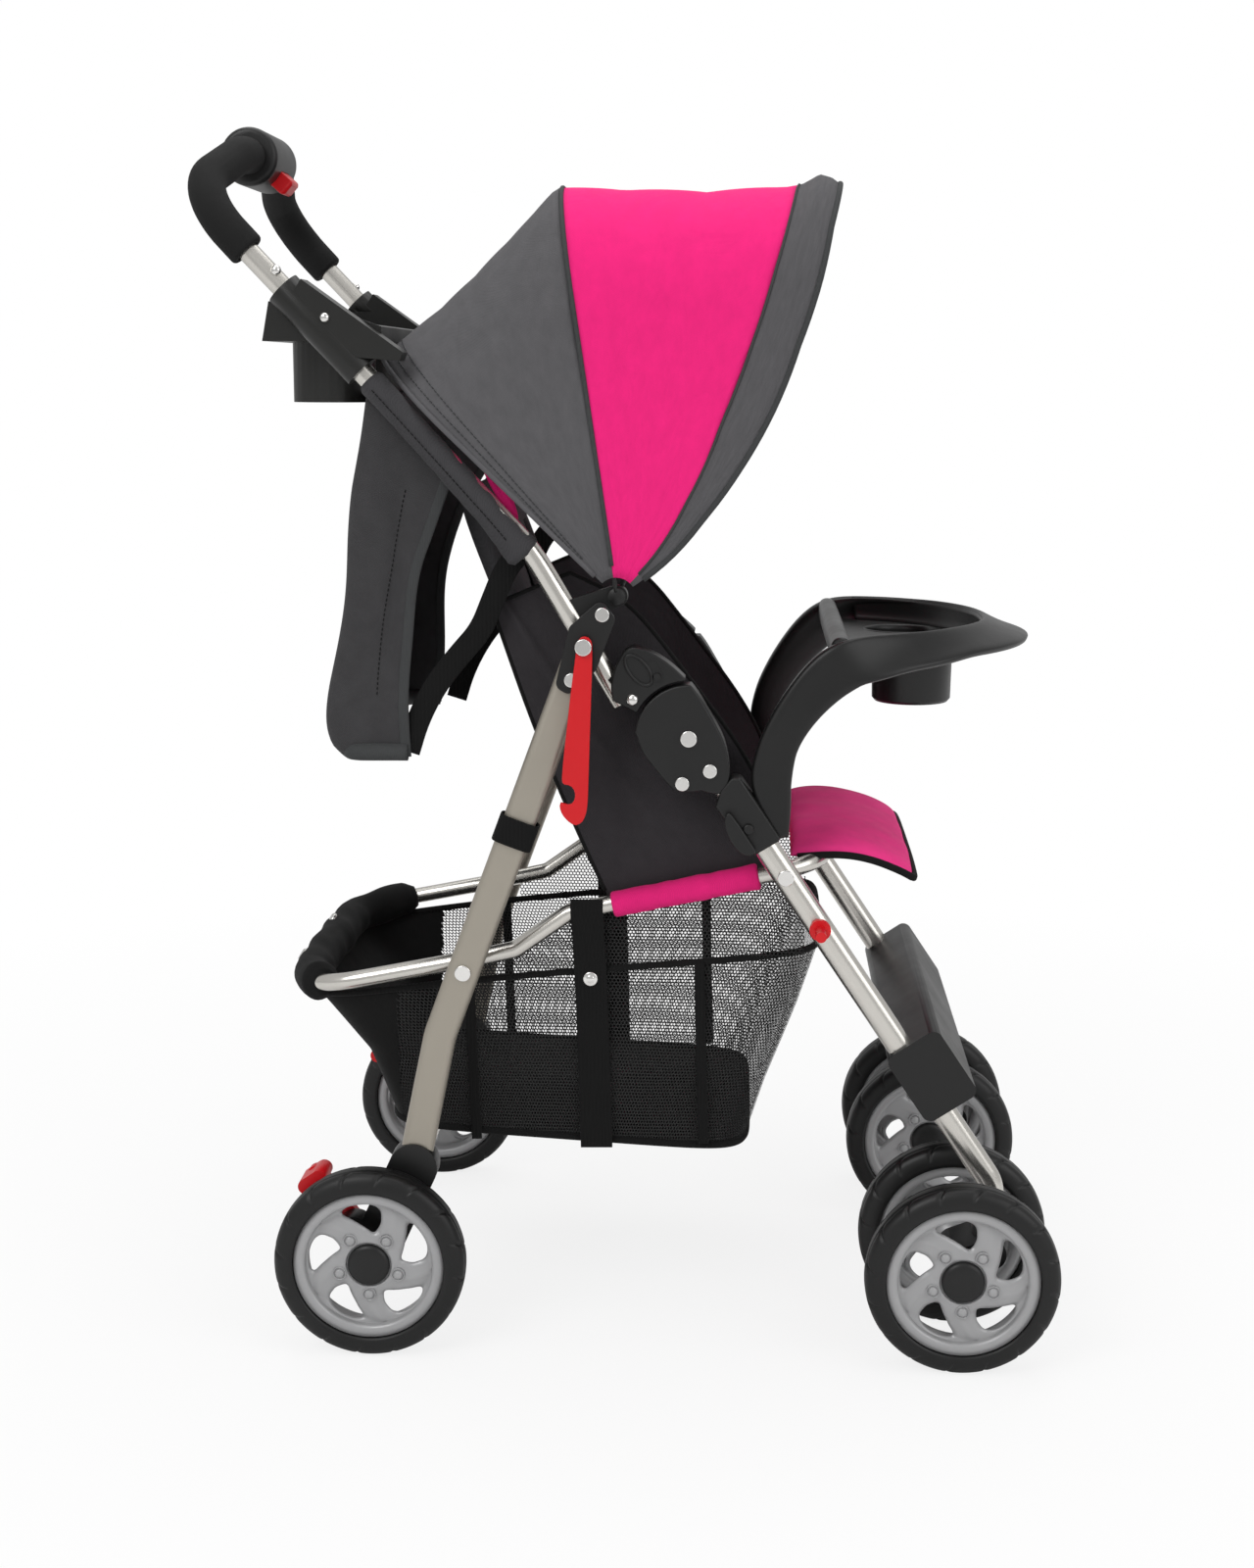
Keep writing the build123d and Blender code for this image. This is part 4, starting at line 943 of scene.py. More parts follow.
# a direction along a slope, and the one square to it on its upper or front side
def slope(angle, side):
    along = np.array([math.cos(angle), 0, math.sin(angle)])
    return along, side * np.array([-math.sin(angle), 0, math.cos(angle)])


(railX, railZ), (railEndX, railEndZ) = cushionLook["rail"]
alongSeat, aboveSeat = slope(math.atan2(railEndZ - railZ, railEndX - railX), 1)
alongBack, beforeBack = slope(math.radians(cushionLook["backTilt"]), -1)
hingeSpot = np.array([cushionLook["hinge"][0], 0, cushionLook["hinge"][1]])

seatFrom = np.array([cushionLook["seatFrom"][0], 0, cushionLook["seatFrom"][1]])
seatCushion = makePillow("seatCushion", seatFrom, alongSeat, aboveSeat, *cushionLook["seatSize"])
puff(seatCushion, cushionLook["seatSwell"])
dress(seatCushion, cloths["pinkPad"], "seat_frame")
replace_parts(seatCushion, "seat_pad")
squashed(seatCushion)

below, behind = cushionLook["backInset"]
backFrom = hingeSpot - alongBack * below - beforeBack * behind
backCushion = makePillow("backCushion", backFrom, alongBack, beforeBack, *cushionLook["backSize"], channels=3)
puff(backCushion, cushionLook["backSwell"])
dress(backCushion, cloths["greyPad"], "backrest_body")
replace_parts(backCushion, "backrest")
squashed(backCushion)


# calf flap: a stuffed strip bent down over the front rail, its section carried across; its corners droop
flapLook = {"spine": [(136, 437.0), (178, 438), (206, 432), (232, 420), (243, 413)], "steps": 33,
            "half": 140.0, "crown": 8.0, "piping": 3.2, "droop": 12.0}


def flapSurface():
    look = flapLook
    steps = look["steps"]
    spine = smoothPath(look["spine"], steps)
    y = np.linspace(-1, 1, 61)
    run = unitRows(np.gradient(spine, axis=0))
    up = np.stack([-run[:, 1], run[:, 0]], -1)
    crown = look["crown"] * np.clip(1 - np.abs(np.linspace(-1, 1, steps)) ** 5, 0, 1) ** 0.5
    thick = crown[:, None] * np.clip(1 - np.abs(y) ** 8, 0, 1)[None, :] ** 0.5
    thick = thick * (1 + 0.16 * ripple(120 * np.linspace(0, 1, steps)[:, None], 280 * y[None, :], 120.0, 0.2))
    sink = look["droop"] * np.linspace(1, 0.4, steps)
    faces = []
    for sign in (1.0, -0.9):
        face = spine[:, None] + up[:, None] * sign * thick[..., None]
        z = face[..., 1] - np.abs(y[None, :]) ** 4 * sink[:, None]
        faces.append(np.stack([face[..., 0], look["half"] * y[None, :] + 0 * thick, z], -1))
    return faces, spine, sink


# the flap's free edge: down one side, across the front and up the other side
def flapEdge(spine, sink):
    half = flapLook["half"]
    side = np.column_stack([spine[:, 0], 0 * spine[:, 0] - half, spine[:, 1] - sink])[2:]
    y = np.linspace(-half, half, 40)[1:-1]
    front = np.column_stack([0 * y + spine[-1, 0] + 0.5, y, spine[-1, 1] - sink[-1] * (y / half) ** 4])
    return smoothPath(np.vstack([side, front, side[::-1] * np.array([1, -1, 1])]), 150, 2)


(flapTop, flapUnder), spine, sink = flapSurface()
faces = [gridMesh("calfFlapPad", flapTop), gridMesh("calfFlapUnder", flapUnder, flip=True)]
calfFlap = addSmooth(outwardFaces(joinPieces("calfFlapPad", faces)))
# the flap's cloth is the pink pad cloth made brighter, painted light against the shadow of the tray above
dress(calfFlap, cloths["flap"], "seat_frame")
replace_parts(calfFlap, "calf_flap")
flapTrim = carry("flapPiping", flapEdge(spine, sink), circleSection(flapLook["piping"], 12), side=(0, 0, 1))
dress(flapTrim, cloths["binding"], "seat_frame")
for piece in (calfFlap, flapTrim):
    squashed(piece)

# pink sleeves on the seat rail, gathered a little along their length and hanging a little below it
railLook = {"start": (-15.0, 384.9), "end": (110.0, 411.7), "y": 153.5, "radius": 10.3, "hang": 1.6}
for side, sign in bothSides:
    share = np.linspace(0, 1, 120)
    x, z = [np.interp(share, [0, 1], ends) for ends in zip(railLook["start"], railLook["end"])]
    turn = fullTurn(28)
    radius = railLook["radius"] * np.interp(share, [0, 0.01, 0.99, 1], [0.88, 1, 1, 0.88])
    gather = 1 + 0.05 * ripple(130 * share[:, None], 14 * np.sin(turn)[None, :], 24.0, 1.1)
    section = gatheredSection(radius, gather, turn)
    section[..., 1] -= railLook["hang"] * (np.sin(turn) < 0)[None, :]
    sleeve = carry(f"railSleeve_{side}", np.stack([x, 0 * share + sign * railLook["y"], z], -1), section)
    dress(sleeve, cloths["pinkPad"], "seat_frame")
print("cushions made")


# seat side: cloth between the back edge and the front edge, rippled outwards, with one slanting fold
sideLook = {"back": [(-18, 386), (-46, 446), (-80, 529), (-112, 621), (-118, 640)],
            "front": [(122, 415), (128, 440), (105, 505), (40, 592), (-4, 646), (-52, 668)],
            "y": 143.6, "flat": (0.23, 0.31), "wall": 1.8, "binding": 1.9}


def sideSurface(sign):
    backEdge = smoothPath(sideLook["back"], 61)
    frontLine = smoothPath(sideLook["front"], 61)
    part = np.linspace(0, 1, 61)[None, :]
    flat = backEdge[:, None] * (1 - part[..., None]) + frontLine[:, None] * part[..., None]
    up = np.linspace(0, 1, 61)[:, None]
    bulge = ripple(260 * up, 170 * part, 110.0, 1.7)
    fold = 3.4 * np.exp(-((part - 0.16 - 0.30 * (1 - up)) / 0.035) ** 2) * np.clip(up * 1.4 - 0.2, 0, 1)
    y = sign * (sideLook["y"] + 1.1 * bulge + fold)
    points = np.stack([flat[..., 0], y, flat[..., 1]], -1)
    uv = np.stack(np.broadcast_arrays(170 * part, 260 * up), -1)
    return points, uv


for side, sign in bothSides:
    points, uv = sideSurface(sign)
    panel = gridMesh(f"seatSide_{side}", points, uv=uv, flip=sign > 0)
    dress(addWall(panel, sideLook["wall"], 0.0), cloths["charcoal"], "seat_frame")
    edge = np.vstack([points[:, -1], points[-1, ::-1][1:], points[::-1, 0][1:]])
    trim = carry(f"seatSideBinding_{side}", edge[2:-2], circleSection(sideLook["binding"], 8))
    dress(trim, cloths["binding"], "seat_frame")
    for piece in (panel, trim):
        squashed(piece)
    if side == "right":
        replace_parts(panel, "seat_sides")
print("seat sides made")


# basket: rounded rectangles from a band below the rails down to the floor; net sides, solid floor and back
basketLook = {"half": 149.0, "wall": 1.2, "netWall": 1.0, "around": 288, "wallRows": 44, "piping": 3.0,
              "netFrom": -204.0, "lowest": 161.0, "flat": (0.95, 0.72),
              "bandX": [-284.0, -140.0, -38.0, 166.0], "bandZ": [293.0, 313.0, 324.0, 343.0],
              "floorX": [-217, -125, 4, 103], "floorZ": [180.0, 174.0, 167.0, 162.0],
              "rearAt": [0, 0.5, 1], "rear": [-284.0, -238.0, -214.0],
              "frontAt": [0, 0.3, 0.7, 1], "front": [166.0, 148.0, 120.0, 103.0],
              "railX": [-139.0, -99.0, -52.0, -33.0, 132.5], "railZ": [333.0, 343.0, 377.0, 381.0, 416.5]}


# height of the top band at x
def bandHeight(x):
    return np.interp(x, basketLook["bandX"], basketLook["bandZ"])


# height of the floor at x
def floorHeight(x):
    return np.interp(x, basketLook["floorX"], basketLook["floorZ"])


# depth 0 to 1 goes down the walls, which belly out, and 1 to 2 closes the floor towards its middle
def basketLoops():
    look = basketLook
    turn = fullTurn(look["around"])
    plan = np.stack([squared(np.cos(turn), 0.26), squared(np.sin(turn), 0.26)], -1)
    depth = np.concatenate([np.linspace(0, 1, look["wallRows"]), np.linspace(1, 2, 16)[1:]])
    loops = []
    for share in depth:
        down = min(share, 1.0)
        shrink = max(share - 1.0, 0.0)
        rear = np.interp(down, look["rearAt"], look["rear"])
        front = np.interp(down, look["frontAt"], look["front"])
        half = look["half"] - 6.0 * down ** 2
        x = (rear + front) / 2 + (front - rear) / 2 * plan[:, 0] * (1 - shrink)
        y = half * plan[:, 1] * (1 - shrink)
        z = bandHeight(x) * (1 - down) + floorHeight(x) * down
        belly = 3.6 * math.sin(math.pi * down) * ripple(x, z * 1.5, 150.0, 0.9)
        y = y + np.sign(y) * np.abs(plan[:, 1]) ** 6 * (belly - 1.0)
        if shrink:
            z = z + 2.5 * ripple(x, y, 120.0, 2.2) * min(1.0, 3 * shrink)
        loops.append(np.stack([x, y, np.maximum(z, look["lowest"])], -1))
    return np.array(loops)


# a basket piece gets a mesh of its own
def bagSquash(obj):
    return squashed(obj)


# upright faces ahead of the rear panel and above the floor get the netting
def netSides(bag):
    faces = bag.data.polygons
    centres, normals = np.empty((2, len(faces) * 3))
    faces.foreach_get("center", centres)
    faces.foreach_get("normal", normals)
    x, y, z = centres.reshape(-1, 3).T * 1000
    upright = np.abs(normals.reshape(-1, 3)[:, 2]) < 0.75
    isNet = (z > floorHeight(x) + 4) & (x > basketLook["netFrom"]) & upright
    faces.foreach_set("material_index", isNet.astype(np.int32))


# net from the top band up to the rail on one side
def makeRailNet(side, sign):
    x = np.linspace(-126, 150, 80)[None, :]
    share = np.linspace(0, 1, 18)[:, None]
    band = bandHeight(x)
    rail = np.maximum(np.interp(x, basketLook["railX"], basketLook["railZ"]) - 6.0, band + 2)
    z = band * (1 - share) + rail * share
    y = sign * (basketLook["half"] - 1.0 + 1.2 * share + 1.0 * ripple(x, z, 130.0, 1.4))
    uv = np.stack([x + 0 * z, z], -1)
    net = gridMesh(f"basketNet_{side}", np.stack([x + 0 * z, y, z], -1), uv=uv, flip=sign < 0)
    dress(addWall(net, basketLook["netWall"], 0.0), cloths["netting"], "seat_frame")
    bagSquash(net)


# carrying strap and two tapes down one side, each by its points in x, distance from the middle plane and z
bagStraps = {"strap": [(-37, 160.5, 390), (-37, 162.5, 380), (-36, 157.0, 362), (-34, 153.0, 324),
                       (-31, 152.5, 250), (-29, 148, 163)],
             "strapSize": (28.0, 1.8), "tapesAt": (-140.0, 60.0), "tapeSize": (9.0, 1.4)}


def sideStraps(side, sign):
    strap = smoothPath([(x, sign * y, z) for x, y, z in bagStraps["strap"]], 60)
    pieces = [carry(f"basketStrap_{side}", strap, strapSection(*bagStraps["strapSize"]), side=(1, 0, 0.03))]
    section = strapSection(*bagStraps["tapeSize"])
    for x in bagStraps["tapesAt"]:
        tape = [(x, sign * 150.6, bandHeight(x)), (x + 2, sign * 150.0, 250), (x + 5, sign * 146.5, 168)]
        pieces.append(carry("basketTape", smoothPath(tape, 30), section, side=(1, 0, 0)))
    return pieces


points = basketLoops()
uv = np.stack(np.broadcast_arrays(lengthsAlong(points[0])[None, :], points[..., 2]), -1)
bag = gridMesh("basketBag", points, wrapV=True, uv=uv)
addWall(outwardFaces(bag), basketLook["wall"])
dress(bag, cloths["black"], "seat_frame")
bag.data.materials.append(cloths["netting"])
netSides(bag)
bagTrim = []
for label, row in (("band", 0), ("floor", basketLook["wallRows"] - 1)):
    ring = np.vstack([points[row], points[row][:2]])
    cord = circleSection(basketLook["piping"], 10)
    bagTrim.append(carry(f"basketPiping_{label}", ring, cord, side=(0, 0, 1)))
for side, sign in bothSides:
    makeRailNet(side, sign)
    bagTrim += sideStraps(side, sign)
trim = joinPieces("basketTrim", bagTrim)
dress(trim, cloths["webbing"], "seat_frame")
bagSquash(trim)
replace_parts(bag, "basket")
bagSquash(bag)

# padded wrap on the rear bar of the basket loop, gathered, with press studs
wrapLook = {"radius": 17.0, "studs": [(-302, -70, 312), (-296, 40, 318)], "studAxis": (-0.8, -0.2, 0.55),
            "sideStud": (-34, 154.5, 318),
            "bar": [(-268, -140, 307), (-283, -118, 304), (-290, -90, 303), (-290, 90, 303), (-283, 118, 304),
                    (-262, 143, 309), (-232, 153, 315)]}
share = np.linspace(0, 1, 120)
turn = fullTurn(30)
radius = wrapLook["radius"] * np.interp(share, [0, 0.03, 0.97, 1], [0.6, 1, 1, 0.6])
gather = 1 + 0.09 * ripple(340 * share[:, None], 30 * np.sin(turn)[None, :], 60.0, 0.8)
section = gatheredSection(radius, gather, turn)
wrap = carry("rearBarWrap", smoothPath(wrapLook["bar"], 120), section, side=(0, 0, 1))
dress(wrap, cloths["binding"], "seat_frame")


# round head with a raised rim, turned about its own axis
def pressStud(name, centre, axis, radius=6.5):
    profile = [(0, 2.2), (radius * 0.5, 2.0), (radius * 0.6, 1.2), (radius * 0.85, 1.7), (radius, 0.8),
               (radius, -2.0), (0, -2.0)]
    return turned(name, profile, centre, axis, 28)


studs = [pressStud("wrapStud", spot, wrapLook["studAxis"]) for spot in wrapLook["studs"]]
dress(joinPieces("wrapStuds", studs), finishes["chrome"], "seat_frame")
x, y, z = wrapLook["sideStud"]
sideStuds = [pressStud("strapStud", (x, sign * y, z), (0, sign, 0)) for sign in (-1, 1)]
bagSquash(dress(joinPieces("strapStuds", sideStuds), finishes["chrome"], "seat_frame"))
print("basket made")


# harness: crotch strap, lap belts and shoulder straps as webbing ribbons, with a buckle
harnessLook = {"width": 25.0, "thick": 1.8, "buckle": (46.0, 13.0), "beforeBack": 15.0,
               "buckleLine": [(37, 0, 478), (39, 0, 500), (42, 0, 526)],
               "crotch": [(36, 0, 428), (40, 0, 445), (36, 0, 470), (35, 0, 492)],
               "lap": [(42, 16, 508), (30, 60, 492), (6, 105, 470), (-6, 134, 458)],
               "shoulder": [(60, 22, 10), (110, 38, 4), (180, 52, 1), (280, 58, 1), (300, 58, -6)]}
webSection = strapSection(harnessLook["width"], harnessLook["thick"])


# a shoulder strap by its reach up the back, its distance from the middle plane and its lift off the cushion
def shoulderStrap(sign):
    start = hingeSpot + beforeBack * harnessLook["beforeBack"]
    path = []
    for reach, width, lift in harnessLook["shoulder"]:
        path.append(start + alongBack * reach + np.array([0, sign * width, 0]) + beforeBack * lift)
    return carry("shoulderStrap", smoothPath(path, 40), webSection)


belts = [carry("crotchStrap", smoothPath(harnessLook["crotch"], 24), webSection)]
for sign in (-1, 1):
    belt = [(x, sign * y, z) for x, y, z in harnessLook["lap"]]
    belts.append(carry("lapBelt", smoothPath(belt, 30), webSection, side=(0.2, 0, 1.0)))
belts = dress(joinPieces("lapStraps", belts), cloths["webbing"], "seat_frame")
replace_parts(belts, "harness")
buckleLine = smoothPath(harnessLook["buckleLine"], 12, 1)
buckle = carry("harnessBuckle", buckleLine, boxSection(*harnessLook["buckle"]))
dress(buckle, finishes["black"], "seat_frame")
for piece in (belts, buckle):
    squashed(piece)
straps = joinPieces("shoulderStraps", [shoulderStrap(sign) for sign in (-1, 1)])
dress(straps, cloths["webbing"], "backrest_body")
squashed(straps)

# recline straps hang from the handle tube to the foot of the drape; leg ties go round the rear legs
strapLook = {"recline": [(-90, 688), (-104, 674), (-116, 645), (-126, 620), (-144, 600), (-164, 575),
                         (-180, 545), (-189, 516)], "y": 158.0, "reclineSize": (20.0, 1.8),
             "leg": (-94.0, 455.0), "legRun": (-0.345, -0.939), "legHalf": (16.5, 9.6), "legY": 192.0,
             "tieSize": (24.0, 1.8)}


# a flat strap along its points, lying square to the side of the stroller
def reclineStrap(sign):
    path = smoothPath([(x, sign * strapLook["y"], z) for x, z in strapLook["recline"]], 60)
    run = np.gradient(path, axis=0)
    across = np.stack([-run[:, 2], 0 * run[:, 0], run[:, 0]], -1)
    return carry("reclineStrap", path, strapSection(*strapLook["reclineSize"]), side=across)


# a flat ring round the leg: a superellipse square to the leg's run
def legTie(sign):
    turn = np.linspace(0, 2 * np.pi, 60)
    across = strapLook["legHalf"][0] * squared(np.cos(turn), 0.5)
    deep = strapLook["legHalf"][1] * squared(np.sin(turn), 0.5)
    legX, legZ = strapLook["leg"]
    dx, dz = strapLook["legRun"]
    ring = np.stack([legX - dz * across, sign * strapLook["legY"] + deep, legZ + dx * across], -1)
    return carry("legTie", ring, strapSection(*strapLook["tieSize"]), side=(dx, 0, dz))


hang = joinPieces("reclineStraps", [reclineStrap(sign) for sign in (-1, 1)])
dress(hang, cloths["webbing"], "handle_frame")
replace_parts(hang, "recline_straps")
squashed(hang)
ties = joinPieces("legTies", [legTie(sign) for sign in (-1, 1)])
dress(ties, cloths["webbing"], "rear_frame")
print("straps made")


# child tray: a slab carried from the right arm round the front and down the left arm, between two edges;
# its inner wall is given by drop below the rim and inset
trayLook = {
    "armBack": [(127, 455), (113, 481), (102, 505), (108.4, 533), (120, 557), (132, 576), (146, 594.5),
                (160, 608.5), (172, 616)],
    "armFront": [(133, 447), (134, 464), (133.8, 489), (138.8, 521), (147, 537), (156.6, 550), (168, 562),
                 (180, 572), (192, 579)],
    "armY": 174.0, "armThick": 20.0, "rimThick": 9.0, "centre": 165.0, "outer": 183.5,
    "inner": (168.0, 142.0), "top": 619.5, "floor": 597.0, "floorBack": 182.0, "floorWall": 2.4,
    "lowX": [195, 203, 229, 261, 289, 349], "lowZ": [580, 583, 590.5, 595, 601, 603],
    "wall": [(-0.5, 0.0), (-4.0, 0.006), (-13.0, 0.02), (-19.0, 0.05), (-22.5, 0.09)],
    "cup": (241.0, 75.0), "cupHole": 33.0, "bridge": (176.0, 605.0), "bridgeSize": (18.0, 24.0),
    "cupProfile": [(0, 553), (31.5, 553), (34, 556), (34.6, 592), (36.8, 597.6), (34.0, 599.2), (31.4, 598),
                   (31, 594), (31, 557), (0, 557)],
}
mirrored = np.array([1, -1, 1.0])


# rim curves by angle round the bow: the inner edge widens towards the sides, the outer edge drops at the back
def trayEdges():
    look = trayLook
    angle = np.radians(np.linspace(-78, 0, 60))
    narrow = (np.abs(angle) / np.radians(78)) ** 1.4
    reach = look["inner"][1] * (1 - narrow) + look["inner"][0] * narrow
    x = look["centre"] + reach * np.cos(angle)
    inner = np.stack([x, reach * np.sin(angle), 0 * angle + look["top"]], -1)
    x = look["centre"] + look["outer"] * np.cos(angle)
    outer = np.stack([x, look["outer"] * np.sin(angle), np.interp(x, look["lowX"], look["lowZ"])], -1)
    back = np.array([(x, -look["armY"], z) for x, z in look["armBack"]])
    front = np.array([(x, -look["armY"], z) for x, z in look["armFront"]])
    upper, lower = np.vstack([back, inner]), np.vstack([front, outer])
    thick = np.concatenate([np.full(len(back), look["armThick"]), np.full(len(inner), look["rimThick"])])
    upper = np.vstack([upper, upper[-2::-1] * mirrored])
    lower = np.vstack([lower, lower[-2::-1] * mirrored])
    return upper, lower, np.concatenate([thick, thick[-2::-1]]), inner


# the edges are spaced evenly and smoothed together, then a bulged box section is carried between them
def makeTrayRim(upper, lower, thick):
    values = np.hstack([upper, lower, thick[:, None]])
    lengths = lengthsAlong((upper + lower) / 2)
    values = pointsAt(values, lengths, np.linspace(0, lengths[-1], 280))
    for step in range(16):
        values[1:-1] = 0.25 * values[:-2] + 0.5 * values[1:-1] + 0.25 * values[2:]
    upper, lower, thick = values[:, :3], values[:, 3:6], values[:, 6:7]
    path = (upper + lower) / 2
    run = unitRows(np.gradient(path, axis=0))
    unit = boxSection(1.0, 1.0, 0.5, 36)
    height = np.linalg.norm(upper - lower, axis=1, keepdims=True)
    bulge = (0.25 - unit[None, :, 1] ** 2) * 0.22 * height
    section = np.stack([unit[None, :, 0] * thick + bulge, unit[None, :, 1] * height], -1)
    return carry("childTrayShell", path, section, side=np.cross(upper - lower, run))


# a wall that drops and draws in from the rim's inner edge, and a level floor with two cup holes
def makeTrayFloor(inner):
    look = trayLook
    edge = np.vstack([inner, inner[-2::-1] * mirrored])
    centre = np.array([look["centre"] + 70.0, 0, 0])
    rows = []
    for drop, inset in look["wall"]:
        rows.append(edge + (centre - edge) * np.array([inset, inset, 0]) + np.array([0, 0, drop]))
    wall = gridMesh("trayWall", np.array(rows))
    across = np.linspace(-158, 158, 121)[None, :]
    part = np.linspace(0, 1, 61)[:, None]
    far = np.interp(across, edge[:, 1], edge[:, 0]) - 2.0
    x = look["floorBack"] * (1 - part) + far * part
    floor = gridMesh("trayFloor", np.stack([x, across + 0 * x, 0 * x + look["floor"]], -1))
    work = bmesh.new()
    work.from_mesh(floor.data)
    cupX, cupY = look["cup"]
    inHole = []
    for face in work.faces:
        middle = face.calc_center_median() * 1000
        if math.hypot(middle.x - cupX, abs(middle.y) - cupY) < look["cupHole"]:
            inHole.append(face)
    bmesh.ops.delete(work, geom=inHole, context="FACES")
    work.to_mesh(floor.data)
    work.free()
    return addWall(joinPieces("childTrayFloor", [wall, floor]), look["floorWall"], 0.0)


# rim, a bridge across the back and two turned cups are one shell
def makeTray():
    look = trayLook
    upper, lower, thick, inner = trayEdges()
    rim = makeTrayRim(upper, lower, thick)
    bridgeX, bridgeZ = look["bridge"]
    line = [(bridgeX, y, bridgeZ) for y in np.linspace(-170, 170, 24)]
    bridge = carry("trayBridge", line, boxSection(*look["bridgeSize"], 0.8), side=(1, 0, 0))
    floor = makeTrayFloor(inner)
    cupX, cupY = look["cup"]
    cups = [turned("trayCup", look["cupProfile"], (cupX, sign * cupY, 0), (0, 0, 1), 64) for sign in (-1, 1)]
    return joinPieces("childTrayShell", [rim, bridge] + cups), floor


trayShell, trayFloor = makeTray()
for piece in (trayShell, trayFloor):
    dress(piece, finishes["tray"], "child_tray_body")
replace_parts(trayShell, "child_tray")
print("child tray made")


# flat plate: a closed outline in x and z, swept straight across from one face to the other, its edges rounded
def plateShell(name, outline, low, high, edge):
    loop = np.asarray(outline, float)
    count = len(loop)
    points = np.vstack([np.stack([loop[:, 0], 0 * loop[:, 0] + y, loop[:, 1]], -1) for y in (low, high)])
    around = np.arange(count)
    after = np.roll(around, -1)
    walls = np.stack([around, after, after + count, around + count], -1).tolist()
    mesh = bpy.data.meshes.new(name)
    ends = [around[::-1].tolist(), (around + count).tolist()]
    mesh.from_pydata((points * 0.001).tolist(), [], walls + ends)
    mesh.polygons.foreach_set("use_smooth", np.ones(len(mesh.polygons), bool))
    obj = bpy.data.objects.new(name, mesh)
    scene.collection.objects.link(obj)
    return addBevel(outwardFaces(obj), edge, 50)


# the same plate on both sides of the stroller
def platePair(name, outline, low, high, edge):
    right = plateShell(name, outline, low, high, edge)
    left = plateShell(name + "Left", outline, -high, -low, edge)
    return joinPieces(name, [right, left])


# lock shells: one egg outline round the lock pivot, as a radius by angle, parted by a ring so halves turn
lockLook = {
    "pivot": (50.0, 534.5), "ring": (45.0, 48.0), "swept": (284.0, 304.0),
    "shellY": (-186.5, -161.5), "knuckleY": (-185.0, -162.5),
    "egg": [(-9.5, 598), (-3.0, 609.0), (5.1, 611.0), (16.5, 607.2), (28.4, 600.8), (40.3, 591.2),
            (51.0, 580.5), (59.4, 569.0), (66.6, 556.5), (73.8, 544.4), (79.8, 532.4), (83.5, 517.8),
            (84.8, 505.7), (82.9, 494.7), (76.5, 487.3), (66.9, 483.1), (54.9, 483.0), (42.8, 487.1),
            (32.0, 496.8), (21.2, 510.1), (11.6, 522.2), (8.5, 531.5), (5.0, 541.0), (-5.0, 550.0),
            (-13.0, 563.0), (-15.5, 576.0), (-13.0, 590.0)],
    "sweptStep": 11.0, "capEnd": 156.0, "edge": 1.8, "neck": (3.0, 185.0, 566.5),
    "neckProfile": [(0, 3.4), (2.6, 3.0), (4.4, 1.8), (5.2, 0), (5.2, -1.5), (0, -1.5)],
    "collar": [(-13.6, 586.1), (2.0, 567.2)], "collarY": 174.0, "collarRadius": 10.4,
    "loop": (8.0, 591.5), "loopSize": (15.0, 7.5), "loopTurn": -50.0, "loopY": 185.2, "loopWire": 1.5,
}


# the shell keeps inside the ring, except below, and the knuckle's cap is what lies beyond it
def lockOutlines():
    look = lockLook
    pivot = np.array(look["pivot"])
    egg = smoothLoop(look["egg"], 240) - pivot
    turn = np.linspace(0, 360, 180, endpoint=False)
    eggTurn = np.degrees(np.arctan2(egg[:, 1], egg[:, 0]))
    reach = np.interp(turn, eggTurn, np.hypot(egg[:, 0], egg[:, 1]), period=360)
    inside, outside = look["ring"]
    held = np.minimum(reach, np.interp(turn, look["swept"], [inside, inside + look["sweptStep"]]))
    beyond = (reach > outside + 1) & (turn < look["capEnd"])
    ray = np.stack([np.cos(np.radians(turn)), np.sin(np.radians(turn))], -1)
    shell = pivot + ray * held[:, None]
    cap = np.vstack([pivot + ray[beyond] * reach[beyond, None], pivot + ray[beyond][::-1] * outside])
    return shell, cap


# a slanted wire ring: an ellipse turned in its own plane
def lockLoop(y):
    look = lockLook
    slant = np.radians(look["loopTurn"])
    turn = np.linspace(0, 2 * np.pi, 61)
    longWay, shortWay = look["loopSize"][0] * np.cos(turn), look["loopSize"][1] * np.sin(turn)
    x = look["loop"][0] + longWay * np.cos(slant) - shortWay * np.sin(slant)
    z = look["loop"][1] + longWay * np.sin(slant) + shortWay * np.cos(slant)
    return carry("lockLoop", np.stack([x, 0 * x + y, z], -1), circleSection(look["loopWire"], 10))


# round rivet heads on both sides of the stroller, at the given spots
def rivetHeads(name, profile, spots):
    heads = []
    for x, y, z in spots:
        heads += [turned(name, profile, (x, sign * y, z), (0, sign, 0), 24) for sign in (-1, 1)]
    return joinPieces(name, heads)


shell, cap = lockOutlines()
lockShells = platePair("lockShells", shell, *lockLook["shellY"], lockLook["edge"])
dress(lockShells, finishes["black"], "front_frame")
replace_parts(lockShells, "lock_housings")
lockCaps = platePair("lockKnuckleCaps", cap, *lockLook["knuckleY"], lockLook["edge"])
dress(lockCaps, finishes["black"], "handle_frame")
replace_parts(lockCaps, "lock_knuckles")
loops = [lockLoop(sign * lockLook["loopY"]) for sign in (-1, 1)]
dress(joinPieces("lockLoops", loops), finishes["black"], "handle_frame")
necks = rivetHeads("neckRivets", lockLook["neckProfile"], [lockLook["neck"]])
dress(necks, finishes["chrome"], "handle_frame")
collars = []
for sign in (-1, 1):
    line = [(x, sign * lockLook["collarY"], z) for x, z in lockLook["collar"]]
    collars.append(carry("neckCollar", line, circleSection(lockLook["collarRadius"], 24)))
dress(joinPieces("neckCollars", collars), finishes["black"], "handle_frame")

